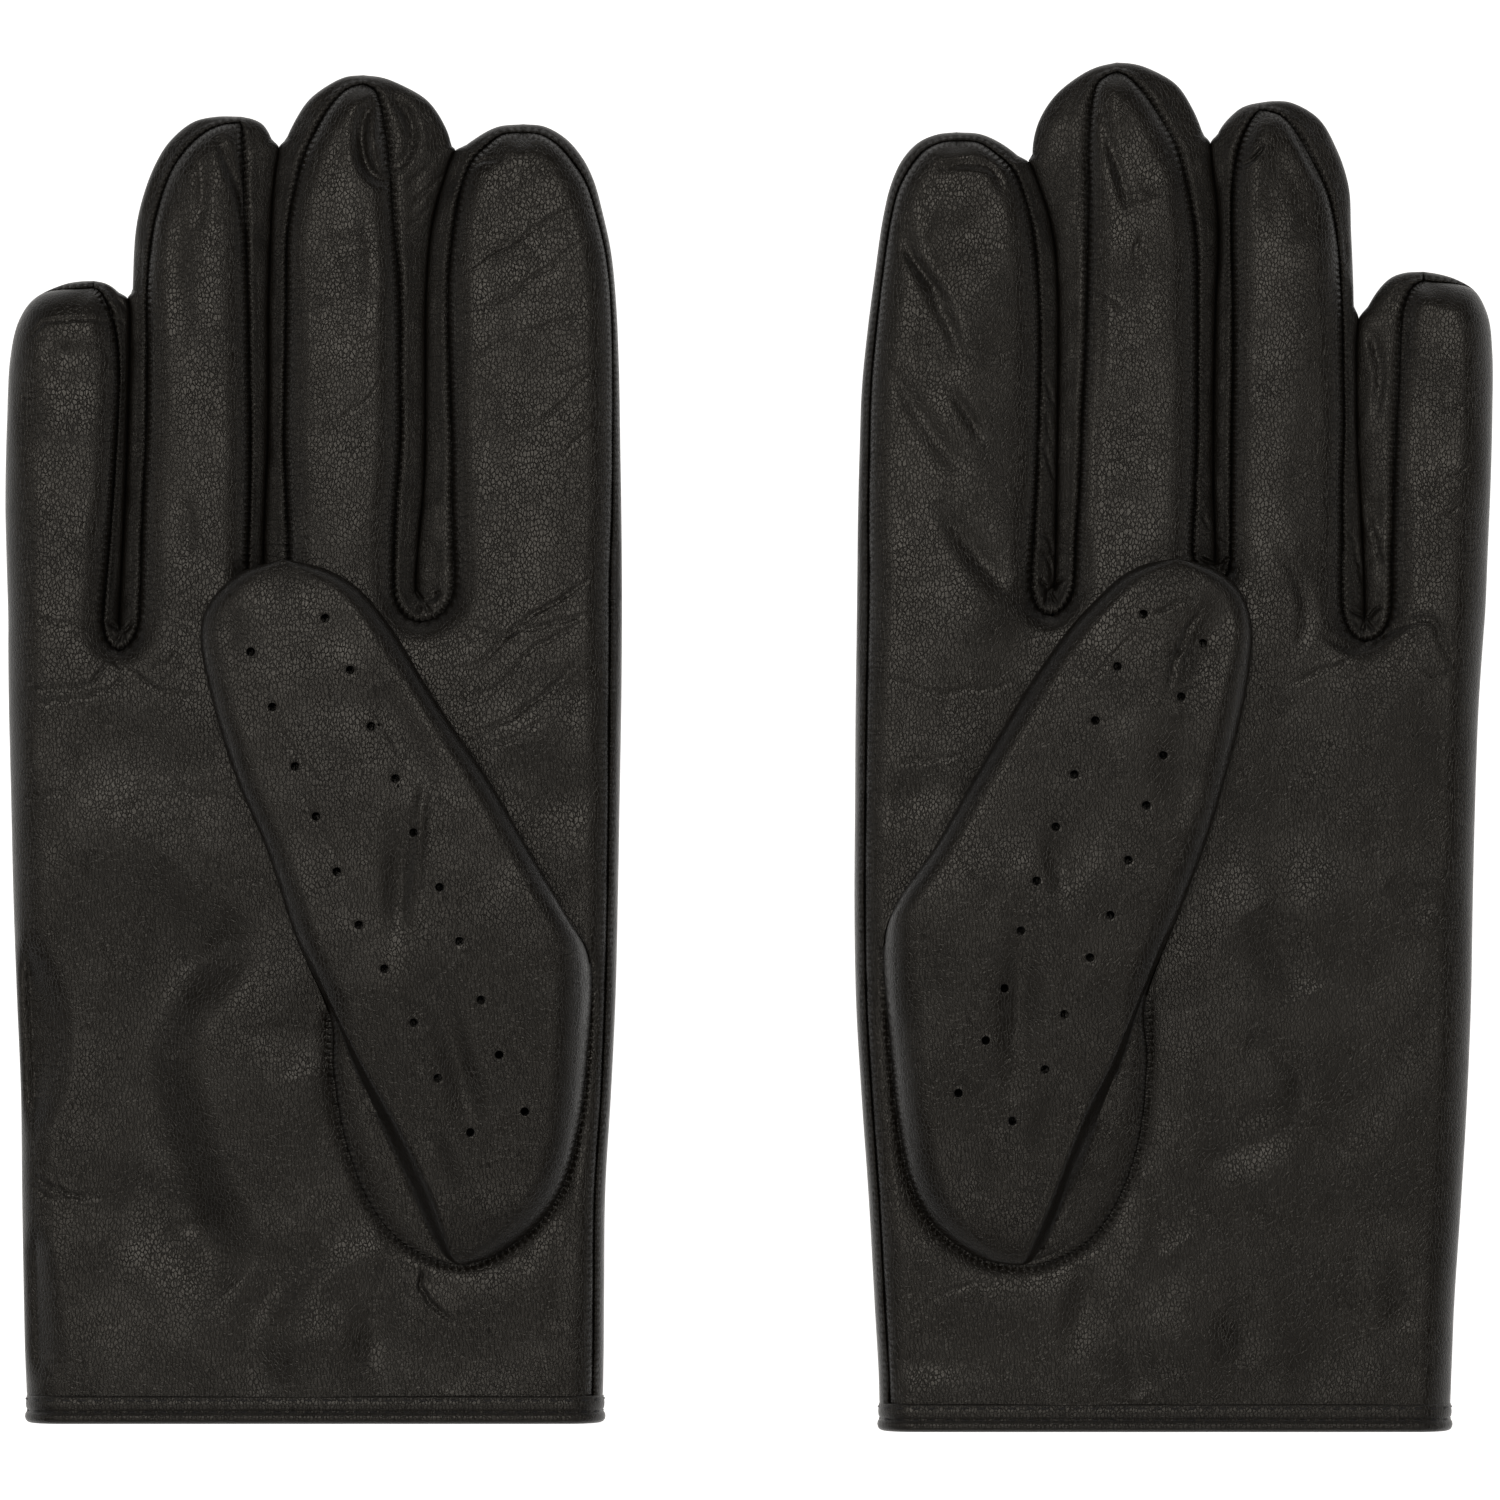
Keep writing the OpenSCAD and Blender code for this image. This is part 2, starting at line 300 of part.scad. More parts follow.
// Thumb beyond its crease
module thumb_front(g) color(leather) plate(foot(g[12]), z_th0, z_th1);
module thumb_back(g) color(leather) difference() {
  plate(seam(g[12]), z_th2, z_top);
  for (p = g[13]) translate([p[0], p[1], z_th2 - 1]) cylinder(r = thumb_hole_r, h = leather_t + 2, $fn = 24);
}
module thumb_side_band(g) color(leather_side)
  strip(g[12], -1, z_th1, z_th2, unit2(foot(g[12])[len(g[12]) - 1] - foot(g[12])[0]), unit2(foot(g[12])[0] - foot(g[12])[len(g[12]) - 1]));

// Wrist strap with a round end, its cap outside and its socket inside
module wrist_strap(g) color(leather) translate([0, 0, z_strap]) difference() {
  union() {
    translate([snap_p[0], snap_p[1], 0]) cylinder(r = strap_w / 2, h = strap_t);
    translate([snap_p[0], snap_p[1] - strap_w / 2, 0]) cube([strap_x - snap_p[0], strap_w, strap_t]);
  }
  translate([snap_p[0], snap_p[1], -1]) cylinder(r = 1.6, h = 4, $fn = 32);
}
module snap_cap(g) color(metal) translate([snap_p[0], snap_p[1], 0]) {
  rotate_extrude() polygon([[0, 0], [cap_r - 1, 0], [cap_r - 0.3, 0.25], [cap_r, z_strap - 0.02], [1.5, z_strap - 0.02], [1.5, z_strap + strap_t], [0, z_strap + strap_t]]);
}
module snap_socket(g) color(metal) translate([snap_p[0], snap_p[1], z_strap + strap_t + 0.02]) difference() {
  cylinder(r = 4.2, h = 0.7);
  translate([0, 0, -1]) cylinder(r = 2.1, h = 3, $fn = 32);
}

module draw(side, part, g) place(side) {
  if (part == "palm_panel") palm_panel(g);
  if (part == "back_panel") back_panel(g);
  if (part == "outer_fold") outer_fold(g);
  if (part == "side_seam_wall") side_seam_wall(g);
  if (part == "crotch_gussets") crotch_gussets(g);
  if (part == "cuff_binding") cuff_binding(g);
  if (part == "vent_binding") vent_binding(g);
  if (part == "thumb_base") thumb_base(g);
  if (part == "strap_anchor") strap_anchor(g);
  if (part == "snap_stud") snap_stud(g);
  if (part == "cuff_thread") cuff_thread(g);
  if (part == "thumb_thread") thumb_thread(g);
  if (part == "little_front") finger_front_panel(g[0], g[1]);
  if (part == "little_back") finger_back_panel(g[0], g[1]);
  if (part == "little_fourchette") { left_strip(g[0]); right_strip(g[1]); }
  if (part == "ring_front") finger_front_panel(g[2], g[3]);
  if (part == "ring_back") finger_back_panel(g[2], g[3]);
  if (part == "ring_fourchettes") { left_strip(g[2]); right_strip(g[3]); }
  if (part == "middle_front") finger_front_panel(g[4], g[5]);
  if (part == "middle_back") finger_back_panel(g[4], g[5]);
  if (part == "middle_fourchettes") { left_strip(g[4]); right_strip(g[5]); }
  if (part == "index_front") finger_front_panel(g[6], g[7]);
  if (part == "index_back") finger_back_panel(g[6], g[7]);
  if (part == "index_fourchette") { left_strip(g[6]); right_strip(g[7]); }
  if (part == "thumb_front") thumb_front(g);
  if (part == "thumb_back") thumb_back(g);
  if (part == "thumb_side_band") thumb_side_band(g);
  if (part == "wrist_strap") wrist_strap(g);
  if (part == "snap_cap") snap_cap(g);
  if (part == "snap_socket") snap_socket(g);
}

draw("right", "palm_panel", right_g);  // right_palm_panel
draw("right", "back_panel", right_g);  // right_back_panel
draw("right", "outer_fold", right_g);  // right_outer_fold
draw("right", "side_seam_wall", right_g);  // right_side_seam_wall
draw("right", "crotch_gussets", right_g);  // right_crotch_gussets
draw("right", "cuff_binding", right_g);  // right_cuff_binding
draw("right", "vent_binding", right_g);  // right_vent_binding
draw("right", "thumb_base", right_g);  // right_thumb_base
draw("right", "strap_anchor", right_g);  // right_strap_anchor
draw("right", "snap_stud", right_g);  // right_snap_stud
draw("right", "cuff_thread", right_g);  // right_cuff_thread
draw("right", "thumb_thread", right_g);  // right_thumb_thread
draw("right", "index_front", right_g);  // right_index_front
draw("right", "index_back", right_g);  // right_index_back
draw("right", "index_fourchette", right_g);  // right_index_fourchette
draw("right", "middle_front", right_g);  // right_middle_front
draw("right", "middle_back", right_g);  // right_middle_back
draw("right", "middle_fourchettes", right_g);  // right_middle_fourchettes
draw("right", "ring_front", right_g);  // right_ring_front
draw("right", "ring_back", right_g);  // right_ring_back
draw("right", "ring_fourchettes", right_g);  // right_ring_fourchettes
draw("right", "little_front", right_g);  // right_little_front
draw("right", "little_back", right_g);  // right_little_back
draw("right", "little_fourchette", right_g);  // right_little_fourchette
draw("right", "thumb_front", right_g);  // right_thumb_front
draw("right", "thumb_back", right_g);  // right_thumb_back
draw("right", "thumb_side_band", right_g);  // right_thumb_side_band
draw("right", "wrist_strap", right_g);  // right_wrist_strap
draw("right", "snap_cap", right_g);  // right_snap_cap
draw("right", "snap_socket", right_g);  // right_snap_socket
draw("left", "palm_panel", left_g);  // left_palm_panel
draw("left", "back_panel", left_g);  // left_back_panel
draw("left", "outer_fold", left_g);  // left_outer_fold
draw("left", "side_seam_wall", left_g);  // left_side_seam_wall
draw("left", "crotch_gussets", left_g);  // left_crotch_gussets
draw("left", "cuff_binding", left_g);  // left_cuff_binding
draw("left", "vent_binding", left_g);  // left_vent_binding
draw("left", "thumb_base", left_g);  // left_thumb_base
draw("left", "strap_anchor", left_g);  // left_strap_anchor
draw("left", "snap_stud", left_g);  // left_snap_stud
draw("left", "cuff_thread", left_g);  // left_cuff_thread
draw("left", "thumb_thread", left_g);  // left_thumb_thread
draw("left", "index_front", left_g);  // left_index_front
draw("left", "index_back", left_g);  // left_index_back
draw("left", "index_fourchette", left_g);  // left_index_fourchette
draw("left", "middle_front", left_g);  // left_middle_front
draw("left", "middle_back", left_g);  // left_middle_back
draw("left", "middle_fourchettes", left_g);  // left_middle_fourchettes
draw("left", "ring_front", left_g);  // left_ring_front
draw("left", "ring_back", left_g);  // left_ring_back
draw("left", "ring_fourchettes", left_g);  // left_ring_fourchettes
draw("left", "little_front", left_g);  // left_little_front
draw("left", "little_back", left_g);  // left_little_back
draw("left", "little_fourchette", left_g);  // left_little_fourchette
draw("left", "thumb_front", left_g);  // left_thumb_front
draw("left", "thumb_back", left_g);  // left_thumb_back
draw("left", "thumb_side_band", left_g);  // left_thumb_side_band
draw("left", "wrist_strap", left_g);  // left_wrist_strap
draw("left", "snap_cap", left_g);  // left_snap_cap
draw("left", "snap_socket", left_g);  // left_snap_socket
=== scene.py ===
import math

import bpy
import numpy as np
from mathutils import Matrix, Vector


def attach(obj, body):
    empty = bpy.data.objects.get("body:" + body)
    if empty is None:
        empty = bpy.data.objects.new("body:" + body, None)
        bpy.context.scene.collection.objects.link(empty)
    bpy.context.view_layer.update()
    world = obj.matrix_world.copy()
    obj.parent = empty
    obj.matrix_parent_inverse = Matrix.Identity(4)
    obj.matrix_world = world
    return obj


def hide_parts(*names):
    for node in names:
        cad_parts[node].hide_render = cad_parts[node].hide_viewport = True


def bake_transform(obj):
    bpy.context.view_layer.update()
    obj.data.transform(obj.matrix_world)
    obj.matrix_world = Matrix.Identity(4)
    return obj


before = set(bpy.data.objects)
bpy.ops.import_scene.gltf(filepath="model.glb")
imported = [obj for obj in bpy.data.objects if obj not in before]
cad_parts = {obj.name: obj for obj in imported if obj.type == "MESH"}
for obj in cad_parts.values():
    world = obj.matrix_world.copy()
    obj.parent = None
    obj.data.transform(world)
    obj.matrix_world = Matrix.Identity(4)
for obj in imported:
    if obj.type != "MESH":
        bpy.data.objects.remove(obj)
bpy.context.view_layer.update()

# ---------------------------------------------------------------- levels, mm
Z_BACK, Z_MID, Z_PALM = 2.6, 7.4, 12.2
Z_THUMB_LO, Z_THUMB_MID, Z_THUMB_HI = 12.8, 15.6, 19.3
POS = {"right": (-75.5, -117.2, 1.0), "left": (72.4, -118.6, -1.0)}

# ---------------------------------------------------------------- the gloves' edges
# Stations are [x, y of the silhouette, x, y of the front seam], mm, thumb side +x, cuff edge at y = 0.
R = dict(
    little_out=[[-53,139.4,-51,139.4],[-53.3,150,-51.3,150],[-53.5,160,-51.4,160],[-53.2,174,-51,174],[-52.6,185,-50.4,184],[-51.2,191,-49,189.6],[-48.6,194.8,-46.8,193.2],[-43.6,197.3,-43,195.6],[-40.6,197.9,-40.4,196.4],[-38.2,198,-38.2,196.7]],
    little_in=[[-34.1,139.4,-36.4,139.4],[-33.6,148,-35.7,148],[-33.1,158,-34.9,158],[-32.6,170,-34.1,170],[-32.3,182,-33.6,181],[-32.2,188.5,-34,187.5],[-32.4,193.6,-35,192],[-34.5,196.6,-36.4,195.2],[-36.2,197.6,-37.2,196.2],[-38.2,198,-38.2,196.7]],
    ring_out=[[-32.8,151.4,-29.7,151.4],[-32.3,162,-29.3,162],[-31.9,174,-28.8,174],[-31.6,186,-28.7,186],[-31.4,197,-28.7,197],[-30.9,206.5,-27.8,206],[-29.8,212,-26.6,211.3],[-27.6,218,-24.6,216.8],[-24.9,222.3,-22,220.7],[-20.8,225.6,-18.6,223.7],[-16.8,226.5,-15.8,224.9],[-12.6,226.5,-12.6,225.3]],
    ring_in=[[-9,151.4,-11.3,151.4],[-8.7,160,-11,160],[-8.2,171,-10.9,171],[-8.1,183,-11.1,183],[-8.1,194,-11.3,194],[-7.8,204,-11.6,204],[-7.5,211,-11.9,210.6],[-7.1,217,-12.1,215.8],[-6.8,220.9,-12.2,219.8],[-8.6,224.9,-12.3,223.2],[-10.4,226,-12.4,224.6],[-12.6,226.5,-12.6,225.3]],
    middle_out=[[-8.4,152.4,-4.3,152.4],[-8.1,160,-4.6,160],[-7.6,171,-5,171],[-7.5,183,-4.8,183],[-7.5,195,-4.6,195],[-7.1,206,-4.4,206],[-6.6,214,-3.2,213.6],[-5.2,221.2,-1.4,220],[-3.6,225.1,0.4,223.8],[-0.9,229.3,2.6,227.6],[2.6,232,5,230.4],[5.6,233.4,6.8,231.5],[8.6,233.7,8.6,232]],
    middle_in=[[17.8,152.4,14,152.4],[18.6,160,14.4,160],[19,171,15.1,171],[19.1,183,15.1,183],[19.2,195,15,195],[19.9,206,14.2,206],[21.2,212,13.7,212],[22.8,217.6,13.3,217.6],[23.8,221.4,12.9,221.4],[22.6,225.2,12.4,224.6],[19.6,229.4,11.8,228],[14.8,232.2,10.9,230.6],[11.8,233.3,9.9,231.5],[8.6,233.7,8.6,232]],
    index_in=[[18.1,146.4,24.4,146.4],[18.6,154,24.2,154],[19.5,163,24.1,163],[19.7,172,24,172],[19.7,185,23.6,185],[19.9,197,23.4,197],[21.1,208,24.5,208],[22.9,215,26,215],[24.9,220,27.8,219],[27.6,222.4,30,221.2],[31.8,224.7,32.8,223.2],[36.4,225.2,36.4,223.6]],
    index_out=[[53.5,146.4,51.4,146.4],[53.4,158,51.8,158],[53.2,170,51.9,170],[53,182,51.9,182],[52.5,194,51.6,194],[51.6,203,50.7,202.6],[50.2,209.6,49.2,209],[48.6,215.4,47.4,214.6],[46.6,219.4,45.2,218.2],[43.6,222.8,42.4,221.4],[40,224.8,39.4,223.2],[36.4,225.2,36.4,223.6]],
    hand_out=[[-48.6,-1,-46.6,-1],[-49.5,2.5,-47.5,2.5],[-50.0,10,-48.0,10],[-50.3,22,-48.3,22],[-50.6,40,-48.6,40],[-50.8,57,-48.8,57],[-51.5,74,-49.5,74],[-52.1,91,-50.1,91],[-52.5,108,-50.5,108],[-52.9,125,-50.9,125],[-53,134,-51,134]],
    hand_in=[[49.2,-1,47.4,-1],[50,2.5,48.2,2.5],[50.3,10,48.5,10],[50.4,22,48.6,22],[50.6,40,48.8,40],[51.6,57,49.9,57],[52.4,74,50.6,74],[52.8,91,51,91],[53.1,108,51.2,108],[53.4,125,51.3,125],[53.5,138,51.4,138]],
    forks=[
        [[-34,138.5,-36.2,137],[-33.9,138.2,-35.4,135],[-33.7,138,-33.7,133.9],[-33.4,138.2,-31.7,135],[-33.3,138.8,-30.4,137.6],[-33.2,143,-29.9,143]],
        [[-9.1,148,-11.3,147.6],[-8.9,146.9,-10.6,144.6],[-8.5,146.6,-8.3,143],[-8.1,146.9,-5.4,144.8],[-8.2,148,-4.4,148]],
        [[17.4,148,13.9,146.4],[17.3,145.6,14.3,142.4],[17.5,144.5,16,139.8],[17.7,144.2,19,138.8],[18,144.5,22.2,140.2],[18.1,145.3,24.1,143]]],
    # chords of the thumb: left edge, right edge, ridge, height of the crown, thumb share
    thumb=[[25.8,27.4,25.8,27.4,.36,12.2,0],[20.4,28.6,31.4,29,.36,13.4,0],[14.2,32.4,38.8,34.4,.35,14.9,0],[9.7,38.4,43.2,40.8,.33,16.3,0],[5.6,49,46.2,52,.25,17.5,0],[3.5,61,47.6,64,.13,18.3,0],[2.9,70.9,48.2,79.7,.03,19.1,.35],
        [-2.7,84.3,44.3,87.7,.02,19.3,1],[-7.7,99.4,37.5,99.4,.02,19.3,1],[-12.8,111.2,30.8,111.2,.02,19.3,1],[-16,121,24.1,121.2,.02,19.3,1],[-17.9,128.5,19.3,128.7,.02,19.3,1],[-19.1,135,15.6,135,.02,19.2,1],[-18.5,140.1,12,140.2,.02,19.1,1],[-15.6,144.5,7.6,145,.02,18.8,1],[-11.5,147.6,2.4,147.9,.02,18.3,1],[-4.7,149.6,-4.7,149.6,.02,17.6,1]],
    crease=((2.9,70.9),(48.2,79.7)),
    holes=[[-10.2,133.5],[-6.5,124],[-2.6,113.8],[1,105.2],[4.6,95.7],[8.4,86.5],[12.8,79],[17.8,69.7],[21.9,60.1],[27.5,50.7],[2.6,139.3],[6.9,130.4],[10.5,120.7],[14.7,111.7],[17.8,102.4],[22.3,93],[25.7,83.7],[29.4,73.6],[32.5,64.1],[36.9,54.3]],
    split=dict(little=135.4, ring=147.4, middle=148.4, index=142.4),
)
L = dict(
    little_out=[[-55.4,142.4,-53.4,142.4],[-55.8,152,-53.8,152],[-56.3,164,-54.2,164],[-56.6,176,-54.5,176],[-56.6,187,-54.4,186.4],[-55.8,193.4,-53.7,192.4],[-53.6,197.6,-51.8,196],[-50.2,199.7,-49,198],[-47.2,200.6,-46.8,198.9],[-44.6,201,-44.6,199.3]],
    little_in=[[-34.8,142.4,-38.8,142.4],[-34.4,151,-39,151],[-33.9,161,-39.3,161],[-33.4,172,-39.7,172],[-33.3,182,-40.2,181.6],[-33.5,190,-40.5,189.2],[-35.6,196,-40.9,194.2],[-38.8,199.8,-42.2,197.6],[-41.4,200.8,-43.2,198.7],[-44.6,201,-44.6,199.3]],
    ring_out=[[-33.8,154.4,-30.4,154.4],[-33.2,164,-30.4,164],[-32.7,174,-30.7,174],[-32.6,186,-30.5,186],[-32.5,198,-30.2,198],[-32.1,208,-29.4,207.4],[-31.7,215.6,-27.8,214.6],[-29.7,222,-25,220.6],[-26.4,227.6,-22.2,225.4],[-21.8,230.3,-19.8,227.9],[-18.6,230.6,-17.6,228.7],[-16,230.3,-16,228.9]],
    ring_in=[[-8.8,154.4,-11.1,154.4],[-8.5,163,-11.2,163],[-8.5,172,-11.3,172],[-8.6,184,-11.5,184],[-8.9,196,-11.5,196],[-9.4,206,-11.3,206],[-9.1,213,-11.3,212.8],[-8.2,220,-11.8,219],[-9.2,225.4,-13,223.8],[-12.4,229,-14.4,226.8],[-14.2,229.9,-15.2,228],[-16,230.3,-16,228.9]],
    middle_out=[[-8.2,154.4,-4.5,154.4],[-7.9,163,-4.9,163],[-7.9,172,-5.2,172],[-8,184,-5.3,184],[-8.3,196,-5.3,196],[-8.8,206,-5.1,205.6],[-8.5,213,-4.2,212.4],[-7.6,220,-2.8,218.8],[-6.2,225.4,-1,224],[-4.4,229.6,1.2,227.8],[-1.6,233.6,3.6,231.4],[3.4,236.4,6.2,234.2],[6,237.1,7.3,235],[8.6,237.3,8.6,235.5]],
    middle_in=[[18.8,154.4,15.7,154.4],[18.7,163,15.1,163],[18.6,172,14.8,172],[18.4,184,14.2,184],[18.4,196,13.8,196],[18.8,204,13.7,204],[20.1,211,13.6,211],[22.3,217.6,13.6,217.4],[23.2,221.2,13.6,221],[22.2,226.8,13.4,226.2],[19.2,231.6,12.9,230.4],[15,235,12,233.4],[12,236.5,10.4,234.8],[8.6,237.3,8.6,235.5]],
    index_in=[[19.6,148.4,23.4,148.4],[19.4,158,22.9,158],[19.3,166,22.5,166],[19.2,175,22.2,175],[19.1,186,22,186],[19.2,197,22.2,197],[20,207,23.1,207],[21.8,214,24.5,213.4],[24.2,219.4,26.6,218.4],[27.6,222.6,29.2,221],[32,224.8,32.6,223.2],[36.4,225.2,36.4,223.6]],
    index_out=[[53.6,148.4,51.6,148.4],[53.5,158,51.7,158],[53.2,170,51.5,170],[52.8,181,51.2,181],[51.8,191,50.3,191],[50.5,201,49.2,200.6],[49.2,210,47.9,209.4],[47.8,216,46.5,215],[45.8,220.4,44.4,219],[43,223.4,42,221.8],[39.8,224.8,39.2,223.2],[36.4,225.2,36.4,223.6]],
    hand_out=[[-48.3,-1,-46.3,-1],[-49.1,2.5,-47.1,2.5],[-49.5,10,-47.5,10],[-50,22,-48,22],[-51.2,40,-49.2,40],[-52.2,57,-50.2,57],[-52.9,74,-50.9,74],[-53.2,91,-51.2,91],[-53.6,108,-51.6,108],[-54.2,125,-52.2,125],[-55,137,-53,137]],
    hand_in=[[48.9,-1,47.1,-1],[49.6,2.5,47.8,2.5],[49.9,10,48.1,10],[50.6,22,48.8,22],[51.6,40,49.8,40],[52.8,57,51,57],[53.8,74,52,74],[54.1,91,52.3,91],[54,108,52.2,108],[53.9,125,52,125],[53.7,140,51.7,140]],
    forks=[
        [[-34.7,141.5,-38.2,139.8],[-34.6,141.2,-36.8,137.8],[-34.4,141,-34.4,136.9],[-34.1,141.2,-32.2,138],[-34,141.8,-30.7,141],[-34,147,-30.3,147]],
        [[-8.9,151.5,-11,151],[-8.8,150.8,-10.6,148.6],[-8.5,150.5,-8.9,147.4],[-8.2,150.8,-6,149],[-8.2,151.6,-4.6,151.4]],
        [[18.9,150,15.9,149],[19,147.4,16.4,145],[19.2,146.4,18,142.4],[19.4,146.2,20.1,141.4],[19.6,146.5,22.2,142.4],[19.6,147.2,23.3,145]]],
    thumb=[[26,28.8,26,28.8,.36,12.2,0],[20.4,29.4,32.4,30,.36,13.4,0],[13.6,33,40,35.4,.35,14.9,0],[8.6,39.8,44.2,42.6,.33,16.3,0],[4.8,50.6,46.6,54,.27,17.5,0],[3.4,64,48,67,.14,18.3,0],[3.6,75.2,49.2,84,.03,19.1,.35],
        [-2.2,90.8,46.4,92.4,.02,19.3,1],[-6.1,101,40.4,101.2,.02,19.3,1],[-9.9,113.6,33,114.2,.02,19.3,1],[-13,126,25.6,126.8,.02,19.3,1],[-14.1,133,21.4,133.2,.02,19.3,1],[-14.4,139.4,16.8,139.4,.02,19.2,1],[-12.6,145.2,11.1,145.4,.02,19,1],[-9.6,148.2,7.6,148.4,.02,18.6,1],[-5.6,150.2,2.8,150.4,.02,18.1,1],[-1.4,151,-1.4,151,.02,17.6,1]],
    crease=((3.6,75.2),(49.2,84)),
    holes=[[-5.8,136.4],[-2,127.2],[1.1,117.1],[4,108.5],[7.1,99.1],[10.2,89.6],[13.7,82.3],[18.1,72.5],[21.4,63],[27,54.1],[4.5,141.4],[9,132.4],[12.8,123.1],[16.4,113.8],[19.6,104.8],[22.9,95.5],[25.6,86.9],[28.4,77],[31.6,68],[36.3,58.9]],
    split=dict(little=138.4, ring=151.6, middle=151.8, index=145.4),
)
RELIEF = 1.1
FINGERS = ("little", "ring", "middle", "index")

# Creases and dents of each glove's palm side: points, half width mm, depth mm (negative is a raised fold)
# dents are centre, two radii, turn, depth; steps are points, width and height, higher on the right as seen from above
R["creases"] = [([(-24,216),(-23,207.5),(-23.5,198),(-22,187.5)],2.2,0.55),([(-16.5,223),(-14.5,217.5),(-12.5,212.5),(-11.5,206.5)],0.8,0.6),([(-19.5,220.5),(-19,213.5),(-20,206.5)],1,0.3),([(-19.5,187.5),(-16,188.5),(-12.5,189)],0.35,0.2),([(-26.5,200.5),(-22,201),(-17,201)],0.35,0.12),([(1,207.5),(0,199),(0.5,187.5)],1.5,0.2),([(4,206.5),(5,197),(4,184)],1.4,0.22),([(8.5,210),(10,201.5),(9,189.5)],1.3,0.18),([(11,229),(9,226.5),(8.5,222),(9.5,217.5),(11.5,215.5),(14,216)],1.1,1.1),([(10,222.5),(12,223),(14,222.5)],0.35,0.4),([(13.5,230),(16.5,226),(17,222),(15.5,218.5),(13.5,217)],0.8,0.8),([(16.5,214.5),(19.5,217.5),(22,222)],0.5,0.25),([(16.5,210),(19.5,213),(22.5,216.5)],0.5,0.25),([(16.5,206.5),(18.5,208.5),(20.5,211)],0.5,0.2),([(-3,204),(2,204.5),(7.5,206),(12,208.5)],0.35,0.16),([(-3.5,193),(1.5,193.5),(6.5,194.5),(13,197)],0.35,0.2),([(1.5,172.5),(6.5,175),(13.5,181)],0.35,0.15),([(-3.5,175.5),(1.5,177.5),(6.5,179.5)],0.35,0.12),([(5.5,185.5),(10,187.5),(14,190)],0.35,0.12),([(39,216),(35,210),(31,204.5),(26,200)],3,0.6),([(47,207.5),(42,206),(37.5,201.5)],2.5,0.35),([(24.5,199.5),(29,201),(33.5,204),(39.5,207.5),(48,211)],0.4,0.26),([(26.5,193),(32.5,194.5),(39.5,199),(49,207.5)],0.4,0.22),([(29,184),(33.5,187.5),(41,190.5),(49.5,191)],0.4,0.2),([(32.5,171),(37.5,172.5),(43,176.5),(49,181.5)],0.4,0.2),([(41,180.5),(46.5,182.5),(50,184)],0.35,0.12),([(42,167),(45.5,169.5),(49.5,173)],0.35,0.14),([(31,199),(32,187.5),(31,175.5),(31.5,162)],2.2,0.32),([(37.5,187.5),(37,175.5),(37.5,162)],2.2,0.2),([(28,218),(30.5,219),(32.5,218.5)],0.5,0.4),([(-38,196.5),(-36,194),(-34.5,192),(-32.5,190.5)],0.5,0.55),([(-36.5,197),(-34,195),(-32.5,193)],0.5,0.4),([(-49.5,187.5),(-46,190.5),(-41,191),(-34,190)],0.5,0.28),([(-46.5,184),(-41,185.5),(-34.5,184)],1.5,0.3),([(-46,182),(-41,181),(-36.5,180),(-34,181)],3,0.4),([(-48.5,180),(-49,172),(-47.5,166)],2,0.3),([(-50.5,126.5),(-47,127),(-41,127.5),(-37,130),(-35.5,133)],0.45,0.28),([(-50,123),(-47,124),(-42,125.5),(-36.5,126.5),(-32.5,130)],0.4,0.2),([(-50,108),(-46,109),(-42.5,110)],0.4,0.25),([(-35.5,133),(-31.5,130),(-26.5,127),(-19.5,125.5)],0.5,0.22),([(-49,140),(-44.5,139),(-37.5,137.5)],0.5,0.22),([(-25.5,111.5),(-19.5,109),(-13.5,107.5)],0.5,0.16),([(-28,130),(-25,131),(-24,133.5),(-25,135.5)],0.6,0.18),([(-22,160),(-21.5,155),(-22,149.5)],1.3,0.3),([(26,139.5),(29,137.5),(33.5,137),(39.5,138),(49,140)],0.5,0.3),([(24,130),(29,131.5),(33.5,136.5),(41,141.5),(49,147)],0.6,0.32),([(27.5,125.5),(32.5,128),(37.5,133),(49,139.5)],0.5,0.26),([(28,119.5),(33.5,122),(39.5,125.5),(45.5,131.5)],0.5,0.26),([(24,138),(27.5,134),(26.5,130.5)],0.4,0.2),([(31,117),(36,119.5),(41,122)],0.5,0.2),([(-5.5,71),(-2,65),(-1,60.5)],3.5,0.55),([(-3,21.5),(1.5,24.5),(6.5,27.5),(13,31)],2.3,-0.6),([(-7.5,5.5),(-9.5,14.5),(-6.5,22.5),(-1,27.5),(2,30.5)],3,0.75),([(-23.5,35.5),(-17.5,28.5),(-13.5,24)],3.2,0.65),([(9.5,21.5),(10.5,14.5),(8.5,10.5)],2.4,0.6),([(19,27),(19.5,22.5),(21.5,20),(24.5,17.5)],0.6,0.45),([(19.5,27),(19,25),(18.5,21.5)],0.4,0.25),([(-49,42.5),(-45.5,41.5),(-42,40),(-36.5,39)],0.5,0.45),([(-49,41),(-46,39.5),(-43.5,39)],0.4,0.3),([(42,42.5),(44,30.5),(43,16.5)],2.5,0.45),([(18.5,7.5),(29,11),(41,14.5)],4.5,0.45),([(-32.5,42.5),(-25.5,38),(-19.5,30.5)],3,0.3)]
R["dents"] = [(12,222,1.9,3,0,-0.55),(30,219.5,2.2,1.6,0,0.4),(-26.5,133,2.4,3,0,-0.25),(37,118.5,5,3.5,25,-0.4),(45.5,126.5,4.5,4,0,0.5),(44,108,5,5,0,0.45),(-33,117,8,8,0,0.6),(-13.5,86.5,9,10,0,0.7),(1.5,14.5,7.2,7.2,0,-0.85)]
